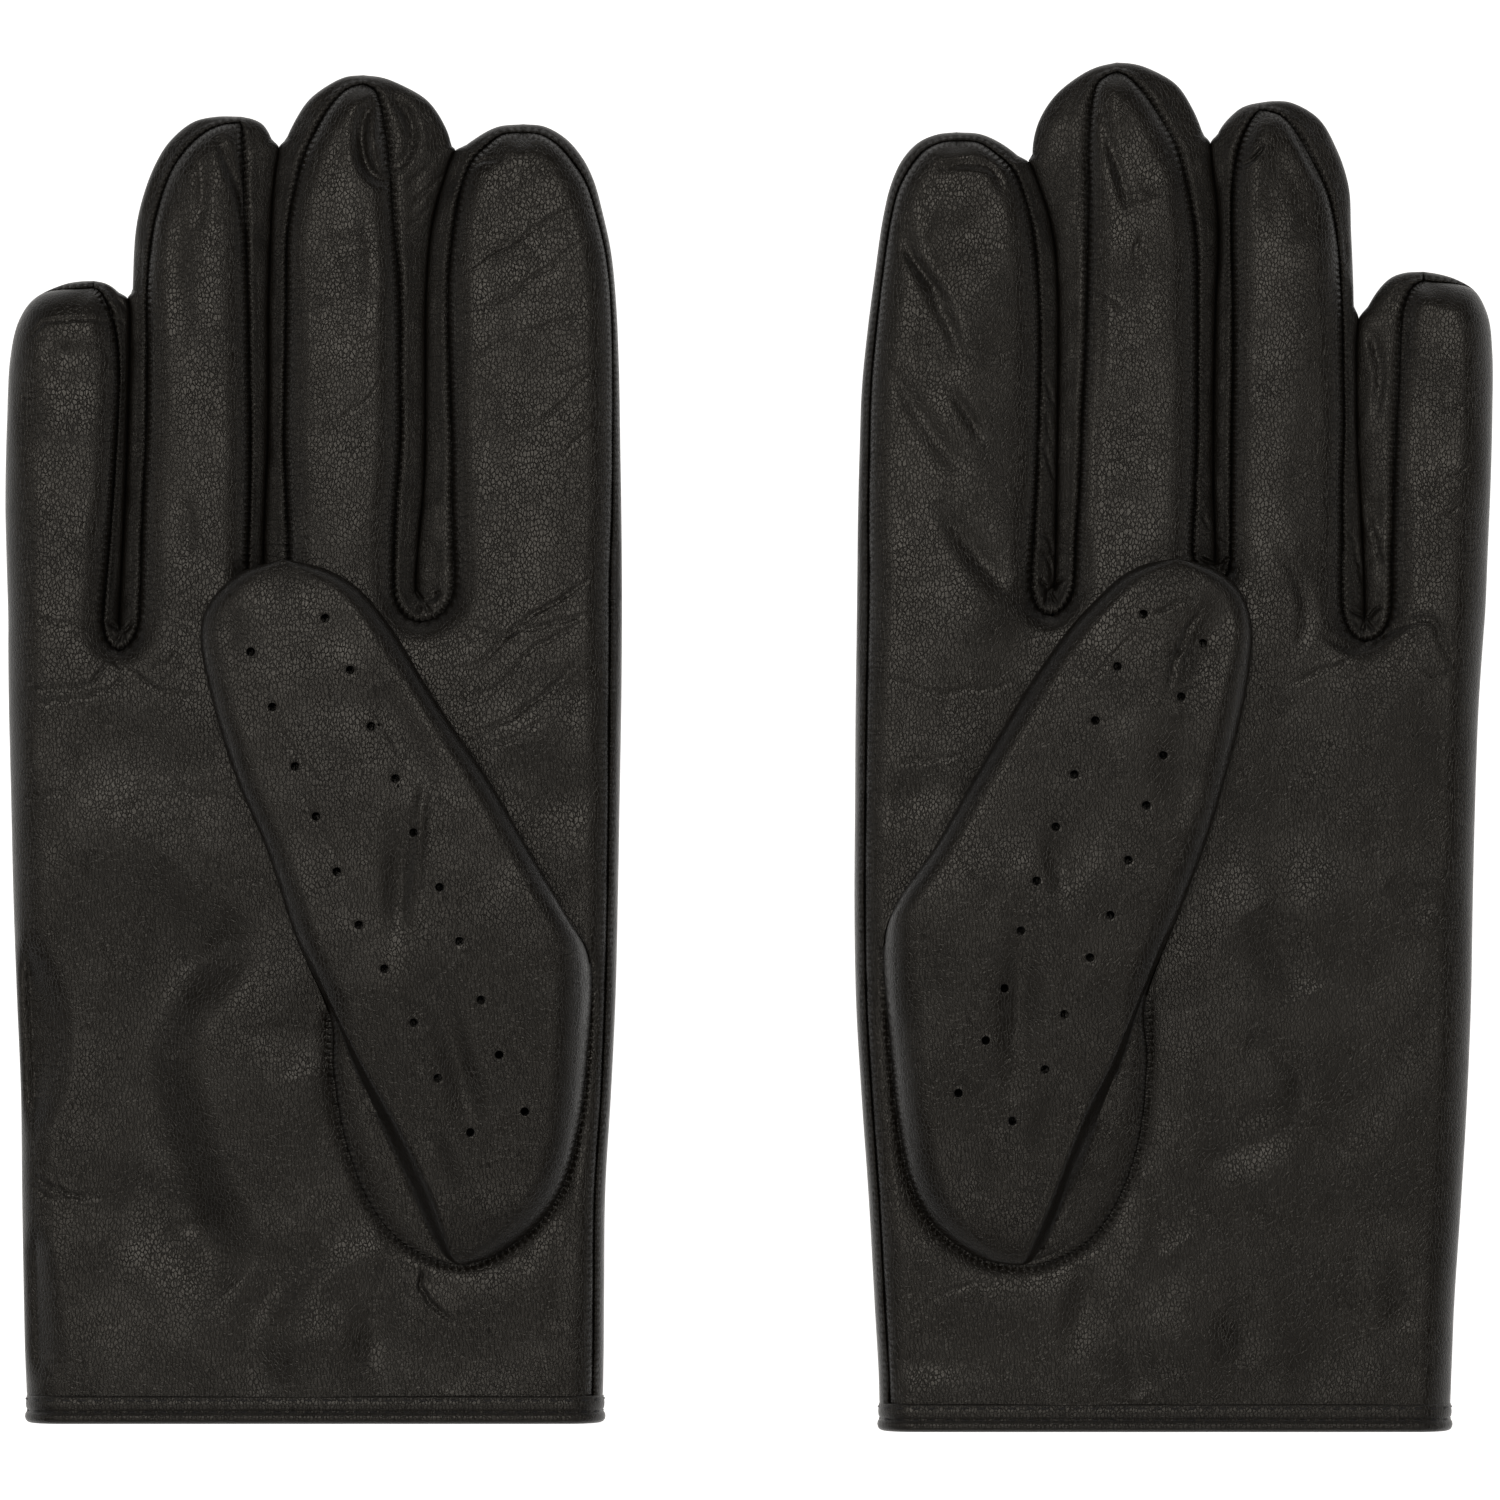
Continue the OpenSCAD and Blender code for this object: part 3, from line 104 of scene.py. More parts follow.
R["steps"] = [([(-9,87.5),(-16,78),(-21.5,71),(-23.5,62.5),(-22,53.5),(-18.5,42.5),(-13.5,32),(-8.5,26.5)],11,1.5),([(-50,85.5),(-45.5,75.5),(-44,65),(-45.5,56),(-49,48.5)],7,1.4),([(-49,35.5),(-46,25),(-45,15.5),(-44.5,6.5)],6,0.9)]
R["thumb_creases"] = [([(19.5,111.5),(19,104.5),(18.5,97.5),(17.5,91),(17,86.5)],0.9,-0.45),([(12,127),(15,121),(18.5,114),(19,108)],2.8,0.6),([(8.5,127),(12.5,121),(17,113.5)],0.4,0.18),([(-6.5,123),(-4,118.5),(-2,115),(1.5,111.5)],0.4,0.14),([(-2,111.5),(1.5,104.5),(5.5,96),(9,86.5)],0.4,0.14),([(29.5,79.5),(30.5,71),(31,62.5)],0.4,0.12)]
R["thumb_dents"] = [(15.5,93.5,2.4,8.5,-2,1),(-14.5,137,2.6,4.5,0,0.6),(5.5,136.5,3,3.5,0,0.35),(25.5,61.5,2.3,9,14,1.1),(36,67.5,3.6,6,10,0.5),(19.5,72,3,3.6,0,0.35),(37.5,53.5,3.6,4.5,20,0.35),(22,46,2,5,20,0.4)]
L["creases"] = [([(41,209),(36,207),(29,208)],3.8,0.7),([(40,218.5),(35,219.5),(30.5,218.5),(28,214)],0.8,0.4),([(46,210.5),(44.5,204.5),(40,196),(36.5,188),(35.5,183)],1.3,0.5),([(47.5,184),(43.5,177),(39.5,171),(35,165.5)],1.4,0.55),([(37.5,180.5),(34,175),(32,171.5)],0.9,0.4),([(46,205.5),(42.5,201),(37.5,194.5)],0.8,0.28),([(42.5,196),(41,189),(40,180.5),(42,175)],2.2,0.38),([(36,191),(30.5,186.5),(24.5,187.5)],0.35,0.14),([(9,227),(6.5,220),(4.5,212.5)],2.8,0.75),([(11.5,229.5),(10,223),(7.5,215),(6.5,210.5)],1,0.4),([(1,229.5),(0.5,222),(3,214)],2.4,0.5),([(-12,218.5),(-14.5,220),(-17,223.5)],0.5,0.6),([(-18.5,226.5),(-20.5,220),(-23.5,213.5),(-25,206)],2.1,0.65),([(-21.5,226.5),(-24,222),(-26.5,216.5)],0.8,0.45),([(-17.5,222),(-18.5,213.5),(-20,206.5)],1.9,0.4),([(-15.5,192.5),(-16.5,185.5),(-16,178.5)],2,0.28),([(-46,194.5),(-44.5,187.5),(-44.5,178.5),(-45.5,170),(-45.5,162)],3.3,0.85),([(-42,196),(-41.5,191),(-41,184)],0.8,0.35),([(-48,176.5),(-50.5,177.5),(-53,178.5)],0.4,0.22),([(-47,164.5),(-50.5,165.5),(-52.5,168.5)],0.4,0.22),([(-35,191),(-37,184),(-36,175)],0.8,0.5),([(22,184),(20.5,181.5),(19.5,177)],0.55,0.4),([(22.5,178.5),(20.5,175),(19.5,171)],0.55,0.4),([(22.5,172.5),(21,169),(19.5,165)],0.55,0.4),([(13.5,197.5),(10.5,196),(6.5,192.5)],0.5,0.2),([(4,208),(5.5,203),(4,198.5)],0.6,0.25),([(22.5,156.5),(20.5,154.5),(19.5,151)],0.55,0.4),([(23,152.5),(20.5,150.5),(19.5,147)],0.55,0.4),([(-5,159.5),(-6.5,158),(-7.5,156)],0.5,0.4),([(-8.5,155),(-10,153.5),(-11,154.5)],0.5,0.35),([(-5.5,154),(-7,150),(-8,148.5)],0.5,0.4),([(-31.5,156),(-33,151),(-34.5,146.5)],0.6,0.4),([(-35,158),(-36.5,153.5),(-37.5,150)],0.6,0.4),([(39.5,161.5),(35,154),(29,147),(23.5,142)],1.4,0.5),([(36,159.5),(32.5,153),(27,147.5)],2.6,0.4),([(51.5,131),(46,129.5),(41,128),(33,128.5),(26.5,129.5)],0.4,0.22),([(46,116.5),(39.5,117),(34,117.5)],0.5,0.26),([(50.5,107.5),(45.5,109.5),(37.5,113)],2.5,0.4),([(-18.5,153),(-22.5,147.5),(-24,141.5),(-23,135.5)],1,0.3),([(-26.5,138),(-32.5,135.5),(-38.5,138.5),(-45.5,140.5),(-48,135.5),(-50.5,132)],0.7,0.35),([(-47,158),(-49.5,159.5),(-51,160.5)],0.4,0.22),([(-44,132),(-47,131),(-50.5,132.5)],0.5,0.25),([(-21.5,129.5),(-27.5,132),(-32.5,134.5)],0.6,0.2),([(-38.5,95.5),(-43,92),(-45.5,89.5)],2,0.35),([(-15.5,90.5),(-19.5,83.5),(-23.5,75.5)],3.3,0.65),([(-13.5,67),(-18.5,66.5),(-22.5,62),(-23,55.5)],1.5,0.4),([(-5,47),(-11,49),(-17,51.5),(-23,55)],2.4,0.5),([(3,44),(1,37),(-2,32.5)],3.6,0.55),([(-10.5,22),(-13,17),(-12,11.5)],2.4,0.55),([(4,16),(5.5,12),(3,7)],2.2,0.45),([(-41.5,30),(-40.5,23),(-41,17.5)],2,0.45),([(41,23),(32.5,25.5),(26.5,26.5)],0.5,0.18)]
L["dents"] = [(-14.5,222.5,2.2,3,30,-0.35),(33,141,4,4,0,-0.4),(-23,104.5,8,8,0,0.8),(-47,113,5,12,0,0.4),(-15.5,89.5,5,5,-20,-0.6),(-2,15.5,7,7,0,-0.7),(14.5,22,2.6,5,15,0.65),(42,12,8,3,0,0.5),(-28,14,8,7,-20,0.55)]
L["steps"] = [([(4,206),(3.5,190),(3,172),(4,150)],9,0.5)]
L["thumb_creases"] = [([(-5,141.5),(-2.5,138),(-1,133.5),(0,129)],0.6,0.45),([(-2,136),(-1.5,134),(-1,132.5)],0.35,0.6),([(-1.5,124),(-2,114.5),(-2.5,105)],3,0.5),([(3,141),(-0.5,143),(-5,143.5)],0.6,0.2),([(14,128.5),(10,133.5),(5.5,139)],0.5,0.15),([(37.5,101.5),(33,95.5),(30.5,89.5)],0.5,0.2),([(41,87),(41.5,79),(43.5,72.5),(45,66.5)],2.6,0.5),([(29,53),(29.5,45.5),(30.5,41.5)],2,0.4),([(17,62),(21,53.5),(23.5,45.5)],2.2,0.45),([(13.5,57.5),(17.5,47),(21,38.5),(25,30)],0.6,-0.45),([(11.5,60),(16.5,46.5),(19.5,37),(22.5,31.5)],0.7,0.55)]
L["thumb_dents"] = [(-6.5,136.5,3.6,7,22,0.95),(19,98,1.9,5,-10,0.6),(26,73.5,2.6,11,4,1.1)]
for g_, pits in ((R, ((19.5, 142.6), (-33.2, 137.4))), (L, ((20.0, 146.0), (-8.8, 149.6), (-34.3, 141.0)))):
    for px_, py_ in pits:
        g_["creases"] += [([(px_, py_), (px_ - 2.6, py_ + 1.8)], .5, .7), ([(px_, py_), (px_ + 2.6, py_ + 1.6)], .5, .7),
                          ([(px_, py_), (px_ + 1.4, py_ - 3.2)], .45, .6), ([(px_, py_), (px_ - 1.6, py_ - 2.8)], .45, .6)]


# ---------------------------------------------------------------- small tools
def spline(points, step):
    """Centripetal Catmull-Rom through the rows, resampled about every step mm."""
    p = np.asarray(points, float)
    q = np.vstack([2 * p[0] - p[1], p, 2 * p[-1] - p[-2]])
    out = []
    for i in range(1, len(q) - 2):
        p0, p1, p2, p3 = q[i - 1], q[i], q[i + 1], q[i + 2]
        t1 = max(np.linalg.norm(p1 - p0), 1e-6) ** 0.5
        t2 = t1 + max(np.linalg.norm(p2 - p1), 1e-6) ** 0.5
        t3 = t2 + max(np.linalg.norm(p3 - p2), 1e-6) ** 0.5
        t = np.linspace(t1, t2, 24, endpoint=False)[:, None]
        a1 = (t1 - t) / t1 * p0 + t / t1 * p1
        a2 = (t2 - t) / (t2 - t1) * p1 + (t - t1) / (t2 - t1) * p2
        a3 = (t3 - t) / (t3 - t2) * p2 + (t - t2) / (t3 - t2) * p3
        b1 = (t2 - t) / t2 * a1 + t / t2 * a2
        b2 = (t3 - t) / (t3 - t1) * a2 + (t - t1) / (t3 - t1) * a3
        out.append((t2 - t) / (t2 - t1) * b1 + (t - t1) / (t2 - t1) * b2)
    d = np.vstack(out + [p[-1:]])
    dims = np.linalg.norm(np.diff(d, axis=0), axis=1) / math.sqrt(max(1, p.shape[1] / 2))
    s = np.concatenate([[0], np.cumsum(dims)])
    n = max(2, int(round(s[-1] / step)) + 1)
    at = np.linspace(0, s[-1], n)
    return np.stack([np.interp(at, s, d[:, k]) for k in range(d.shape[1])], 1)


def nearest(line, p, span=None):
    """Distance from points p (n, 2) to a dense polyline, and the place along it, by index."""
    line = np.asarray(line, np.float32)
    p = np.asarray(p, np.float32)
    dist = np.empty(len(p), np.float32)
    place = np.empty(len(p), np.float32)
    for a in range(0, len(p), 20000):
        q = p[a:a + 20000]
        d2 = (q[:, None, 0] - line[None, :, 0]) ** 2 + (q[:, None, 1] - line[None, :, 1]) ** 2
        i = d2.argmin(1)
        best = np.sqrt(d2[np.arange(len(q)), i])
        where = i.astype(np.float32)
        for k in (-1, 0):
            j = np.clip(i + k, 0, len(line) - 2)
            s, e = line[j], line[j + 1]
            v = e - s
            t = np.clip(((q - s) * v).sum(1) / np.maximum((v * v).sum(1), 1e-9), 0, 1)
            dd = np.linalg.norm(q - (s + v * t[:, None]), axis=1)
            better = dd < best
            best = np.where(better, dd, best)
            where = np.where(better, j + t, where)
        dist[a:a + 20000], place[a:a + 20000] = best, where
    return dist.astype(float), place.astype(float)


def lattice(x, y, size, seed):
    """Smooth value noise from -1 to 1 with features about size mm across."""
    rng = np.random.RandomState(seed)
    n = 256
    g = rng.uniform(-1, 1, (n, n))
    u, v = x / size + 100.37, y / size + 100.71
    i, j = np.floor(u).astype(int), np.floor(v).astype(int)
    a, b = u - i, v - j
    a, b = a * a * a * (a * (a * 6 - 15) + 10), b * b * b * (b * (b * 6 - 15) + 10)
    i, j = i % n, j % n
    i1, j1 = (i + 1) % n, (j + 1) % n
    return (g[i, j] * (1 - a) + g[i1, j] * a) * (1 - b) + (g[i, j1] * (1 - a) + g[i1, j1] * a) * b


def turned(x, y, deg):
    c, s = math.cos(math.radians(deg)), math.sin(math.radians(deg))
    return x * c + y * s, -x * s + y * c


def roll(d, r, p=2.0):
    """1 at an edge, 0 from r mm inwards, with a vertical start, like a rounded edge."""
    k = 1 - np.clip(d / r, 0, 1)
    return 1 - np.power(np.clip(1 - np.power(k, p), 0, 1), 1 / p)


def smooth(a, b, x):
    t = np.clip((x - a) / (b - a), 0, 1)
    return t * t * (3 - 2 * t)


def unit(v):
    return v / np.maximum(np.linalg.norm(v, axis=-1, keepdims=True), 1e-9)


def grid_faces(nr, nc, flip=False):
    r, c = np.meshgrid(np.arange(nr - 1), np.arange(nc - 1), indexing="ij")
    a = (r * nc + c).ravel()
    f = np.stack([a, a + 1, a + nc + 1, a + nc], 1)
    return f[:, ::-1] if flip else f


def grid_normals(p, flip=False):
    """Normals of a grid of points (rows, columns, 3)."""
    du = np.gradient(p, axis=1)
    dv = np.gradient(p, axis=0)
    n = unit(np.cross(du, dv))
    return -n if flip else n


def inside(poly, p):
    x, y = p[:, 0], p[:, 1]
    r = np.zeros(len(p), bool)
    j = len(poly) - 1
    for i in range(len(poly)):
        xi, yi, xj, yj = poly[i][0], poly[i][1], poly[j][0], poly[j][1]
        if yi != yj:
            r ^= ((yi > y) != (yj > y)) & (x < (xj - xi) * (y - yi) / (yj - yi) + xi)
        j = i
    return r


def creased(x, y, lines):
    """Depth of listed creases at points."""
    out = np.zeros(len(x))
    for pts, half, depth in lines:
        line = spline(pts, 0.3)
        if 0 < depth and half < 0.7:
            line = line + 0.28 * np.stack([lattice(line[:, 0], line[:, 1], 1.1, 71), lattice(line[:, 0], line[:, 1], 1.1, 72)], 1) + 0.5 * np.stack([lattice(line[:, 0], line[:, 1], 4.0, 73), lattice(line[:, 0], line[:, 1], 4.0, 74)], 1)
            half, depth = half * 0.6, depth * 0.85
        elif half > 1.3:
            half, depth = half * 1.25, depth * 0.72
        box = (x > line[:, 0].min() - 5 * half) & (x < line[:, 0].max() + 5 * half) & (y > line[:, 1].min() - 5 * half) & (y < line[:, 1].max() + 5 * half)
        if not box.any():
            continue
        d, place = nearest(line, np.stack([x[box], y[box]], 1))
        ends = np.sin(np.pi * np.clip(place / (len(line) - 1), 0, 1)) ** 0.6
        out[box] += RELIEF * depth * ends * (np.exp(-(d / half) ** 2) - 0.16 * np.exp(-((d - 2.1 * half) / (1.1 * half)) ** 2))
    return out


def dented(x, y, spots):
    """Depth of soft dents: centre, two radii, angle, depth."""
    out = np.zeros(len(x))
    for cx, cy, rx, ry, deg, depth in spots:
        u, v = turned(x - cx, y - cy, deg)
        rx, ry, depth = rx * 1.12, ry * 1.12, depth * 0.85
        out += RELIEF * depth * np.exp(-(u / rx) ** 2 - (v / ry) ** 2)
    return out


def stepped(x, y, steps, sgn):
    """Depth of broad steps: the side that lies lower sinks by the height."""
    out = np.zeros(len(x))
    for pts, width, height in steps:
        line = spline(pts, 0.5)
        box = (x > line[:, 0].min() - 60) & (x < line[:, 0].max() + 60) & (y > line[:, 1].min() - 60) & (y < line[:, 1].max() + 60)
        if not box.any():
            continue
        p = np.stack([x[box], y[box]], 1)
        d, place = nearest(line, p)
        i = np.clip(place.astype(int), 0, len(line) - 2)
        e, v = line[i + 1] - line[i], p - line[i]
        side = np.sign(e[:, 0] * v[:, 1] - e[:, 1] * v[:, 0]) * sgn
        ends = smooth(0, 1, np.sin(np.pi * np.clip(place / (len(line) - 1), 0, 1)) * 1.6)
        out[box] += 1.5 * height * (1 - smooth(-width / 2, width / 2, side * d)) * ends * np.exp(-(d / 22) ** 2)
    return out


class Piece:
    """Collects local geometry of one piece, in mm, and makes the Blender object."""

    def __init__(self):
        self.v, self.f, self.n, self.sd, self.sa, self.count = [], [], [], [], [], 0

    def add(self, v, f, n, sd=None, sa=None):
        v = np.asarray(v, float).reshape(-1, 3)
        self.v.append(v)
        self.n.append(np.asarray(n, float).reshape(-1, 3))
        self.f += [tuple(int(i) + self.count for i in q) for q in f]
        self.sd.append(np.full(len(v), 9.0) if sd is None else np.asarray(sd, float).ravel())
        self.sa.append(np.zeros(len(v)) if sa is None else np.asarray(sa, float).ravel())
        self.count += len(v)
        return self

    def weld(self, tol=1e-3):
        v, n = np.vstack(self.v), np.vstack(self.n)
        sd, sa = np.concatenate(self.sd), np.concatenate(self.sa)
        key = np.round(v / tol).astype(np.int64)
        _, first, back = np.unique(key, axis=0, return_index=True, return_inverse=True)
        back = back.ravel()
        nn = np.zeros((len(first), 3))
        np.add.at(nn, back, n)
        faces = []
        for q in self.f:
            w = []
            for i in q:
                k = int(back[i])
                if k not in w:
                    w.append(k)
            if len(w) > 2:
                faces.append(tuple(w))
        self.v, self.n, self.sd, self.sa, self.f = [v[first]], [unit(nn)], [sd[first]], [sa[first]], faces
        self.count = len(first)
        return self

    def make(self, name, side, mat, shade=True):
        ox, oy, s = POS[side]
        v, n = np.vstack(self.v), np.vstack(self.n)
        rest = v.copy()
        v = np.stack([(ox + s * v[:, 0]) / 1000, (oy + v[:, 1]) / 1000, v[:, 2] / 1000], 1)
        n = np.stack([s * n[:, 0], n[:, 1], n[:, 2]], 1)
        faces = self.f if s > 0 else [q[::-1] for q in self.f]
        me = bpy.data.meshes.new(name)
        me.from_pydata(v.tolist(), [], faces)
        me.validate(clean_customdata=False)
        if s < 0:
            rest[:, 0] += 400
        for key, kind, data in (("rest", "FLOAT_VECTOR", rest), ("sd", "FLOAT", np.concatenate(self.sd)), ("sa", "FLOAT", np.concatenate(self.sa))):
            a = me.attributes.new(key, kind, "POINT")
            a.data.foreach_set("vector" if kind == "FLOAT_VECTOR" else "value", data.astype(np.float32).ravel())
        me.polygons.foreach_set("use_smooth", [True] * len(me.polygons))
        if shade:
            me.normals_split_custom_set_from_vertices([tuple(q) for q in n])
        o = bpy.data.objects.new(name, me)
        bpy.context.scene.collection.objects.link(o)
        o.data.materials.append(mat)
        return o


def punch(v, f, n, holes, r, deep, up=1.0, k=20):
    """Cuts round holes with a wall into a sheet that is a height field near each hole."""
    v, f, n = np.asarray(v, float), np.asarray(f, int), np.asarray(n, float)
    keep = np.ones(len(f), bool)
    nv, nn, nf = [v], [n], []
    count = len(v)
    for hx, hy in holes:
        d = np.hypot(v[:, 0] - hx, v[:, 1] - hy)
        hit = (d < r + 0.28)[f].any(1) & keep
        if not hit.any():
            continue
        keep &= ~hit
        fh = f[hit]
        edges = set()
        for q in fh:
            for a, b in zip(q, np.roll(q, -1)):
                edges.add((int(a), int(b)))
        rim = sorted({e[0] for e in edges if (e[1], e[0]) not in edges} | {e[1] for e in edges if (e[1], e[0]) not in edges},
                     key=lambda i: math.atan2(v[i, 1] - hy, v[i, 0] - hx))
        m = v[rim]
        fit = np.linalg.lstsq(np.stack([np.ones(len(m)), m[:, 0] - hx, m[:, 1] - hy], 1), m[:, 2], rcond=None)[0]
        ang = np.linspace(-np.pi, np.pi, k, endpoint=False) + 1e-3
        c, s = np.cos(ang), np.sin(ang)
        rings = []
        for rr, dz, tilt in ((r + 0.1, 0.0, 0.15), (r, -0.07, 0.8), (r - 0.02, -deep, 1.0)):
            x, y = hx + rr * c, hy + rr * s
            z = fit[0] + fit[1] * (x - hx) + fit[2] * (y - hy) + up * dz
            base = unit(np.array([[-fit[1], -fit[2], 1.0]]) * up)
            nrm = unit(base * (1 - tilt) + np.stack([-c, -s, 0 * c], 1) * tilt)
            rings.append(list(range(count, count + k)))
            nv.append(np.stack([x, y, z], 1))
            nn.append(nrm)
            count += k
        outer = [(math.atan2(v[i, 1] - hy, v[i, 0] - hx), i) for i in rim]
        inner = [(a, i) for a, i in zip(ang, rings[0])]
        i = j = 0
        while i < len(outer) or j < len(inner):
            a0, a1 = outer[i % len(outer)], outer[(i + 1) % len(outer)]
            b0, b1 = inner[j % len(inner)], inner[(j + 1) % len(inner)]
            na = a1[0] + (2 * np.pi if i + 1 >= len(outer) else 0)
            nb = b1[0] + (2 * np.pi if j + 1 >= len(inner) else 0)
            if j >= len(inner) or (i < len(outer) and na <= nb):
                nf.append((a0[1], a1[1], b0[1]))
                i += 1
            else:
                nf.append((a0[1], b1[1], b0[1]))
                j += 1
        for p, q in zip(rings[:-1], rings[1:]):
            for a in range(k):
                b = (a + 1) % k
                nf.append((p[a], p[b], q[b], q[a]))
    if up < 0:
        nf = [t[::-1] for t in nf]
    return np.vstack(nv), [tuple(int(i) for i in q) for q in f[keep]] + nf, np.vstack(nn)


def sweep(path, out, profile, up=(0, 1, 0), closed=False, cap=True):
    """A tube: at each path point, profile pairs (along up, along out). Returns v, f, n."""
    path, out = np.asarray(path, float), unit(np.asarray(out, float))
    up = np.broadcast_to(np.asarray(up, float), path.shape)
    pr = np.asarray(profile, float)
    p = path[:, None, :] + pr[None, :, 0, None] * up[:, None, :] + pr[None, :, 1, None] * out[:, None, :]
    nr, nc = p.shape[:2]
    tang = np.roll(pr, -1, 0) - np.roll(pr, 1, 0)
    nrm = tang[None, :, 1, None] * up[:, None, :] - tang[None, :, 0, None] * out[:, None, :]
    f = []
    for r in range(nr if closed else nr - 1):
        r1 = (r + 1) % nr
        for c in range(nc):
            c1 = (c + 1) % nc
            f.append((r * nc + c, r * nc + c1, r1 * nc + c1, r1 * nc + c))
    # face outwards: compare with the profile's own centre
    centre = p.mean(1, keepdims=True)
    if ((p - centre) * nrm).sum() < 0:
        nrm = -nrm
    q = p.reshape(-1, 3)
    a, b, c = q[f[0][0]], q[f[0][1]], q[f[0][2]]
    if np.dot(np.cross(b - a, c - a), nrm.reshape(-1, 3)[f[0][0]]) < 0:
        f = [t[::-1] for t in f]
        flip = True
    else:
        flip = False
    if cap and not closed:
        first, last = list(range(nc)), list(range((nr - 1) * nc, nr * nc))
        f += [tuple(first) if flip else tuple(first[::-1]), tuple(last[::-1]) if flip else tuple(last)]
    return q, f, unit(nrm).reshape(-1, 3)


def stitch(at, along, up, length, wide, high, seg=8, rings=6):
    """One stitch: a short bar of thread that dips at both ends."""
    along, up = unit(np.asarray(along, float)), unit(np.asarray(up, float))
    side = np.cross(up, along)
    v, n = [], []
    for i in range(rings + 1):
        t = i / rings * 2 - 1
        fat = max(0.05, (1 - abs(t) ** 2.6)) ** 0.5
        dip = -high * 0.9 * abs(t) ** 3
        for k in range(seg):
            a = 2 * math.pi * k / seg
            c, s = math.cos(a), math.sin(a)
            v.append(at + along * t * length / 2 + side * c * wide / 2 * fat + up * (s * high / 2 * fat + dip))
            n.append(unit(side * c * high + up * s * wide + along * t * abs(t) ** 2 * 0.5 * wide))
    f = []
    for i in range(rings):
        for k in range(seg):
            k1 = (k + 1) % seg
            f.append((i * seg + k, (i + 1) * seg + k, (i + 1) * seg + k1, i * seg + k1))
    f.append(tuple(range(seg)))
    f.append(tuple(range(rings * seg, (rings + 1) * seg))[::-1])
    return np.array(v), [t[::-1] for t in f] if np.dot(np.cross(side, up), along) > 0 else f, np.array(n)


# ---------------------------------------------------------------- materials
def nodes_of(name):
    m = bpy.data.materials.new(name)
    m.use_nodes = True
    m.node_tree.nodes.clear()
    out = m.node_tree.nodes.new("ShaderNodeOutputMaterial")
    b = m.node_tree.nodes.new("ShaderNodeBsdfPrincipled")
    m.node_tree.links.new(b.outputs[0], out.inputs[0])
    return m, m.node_tree, b


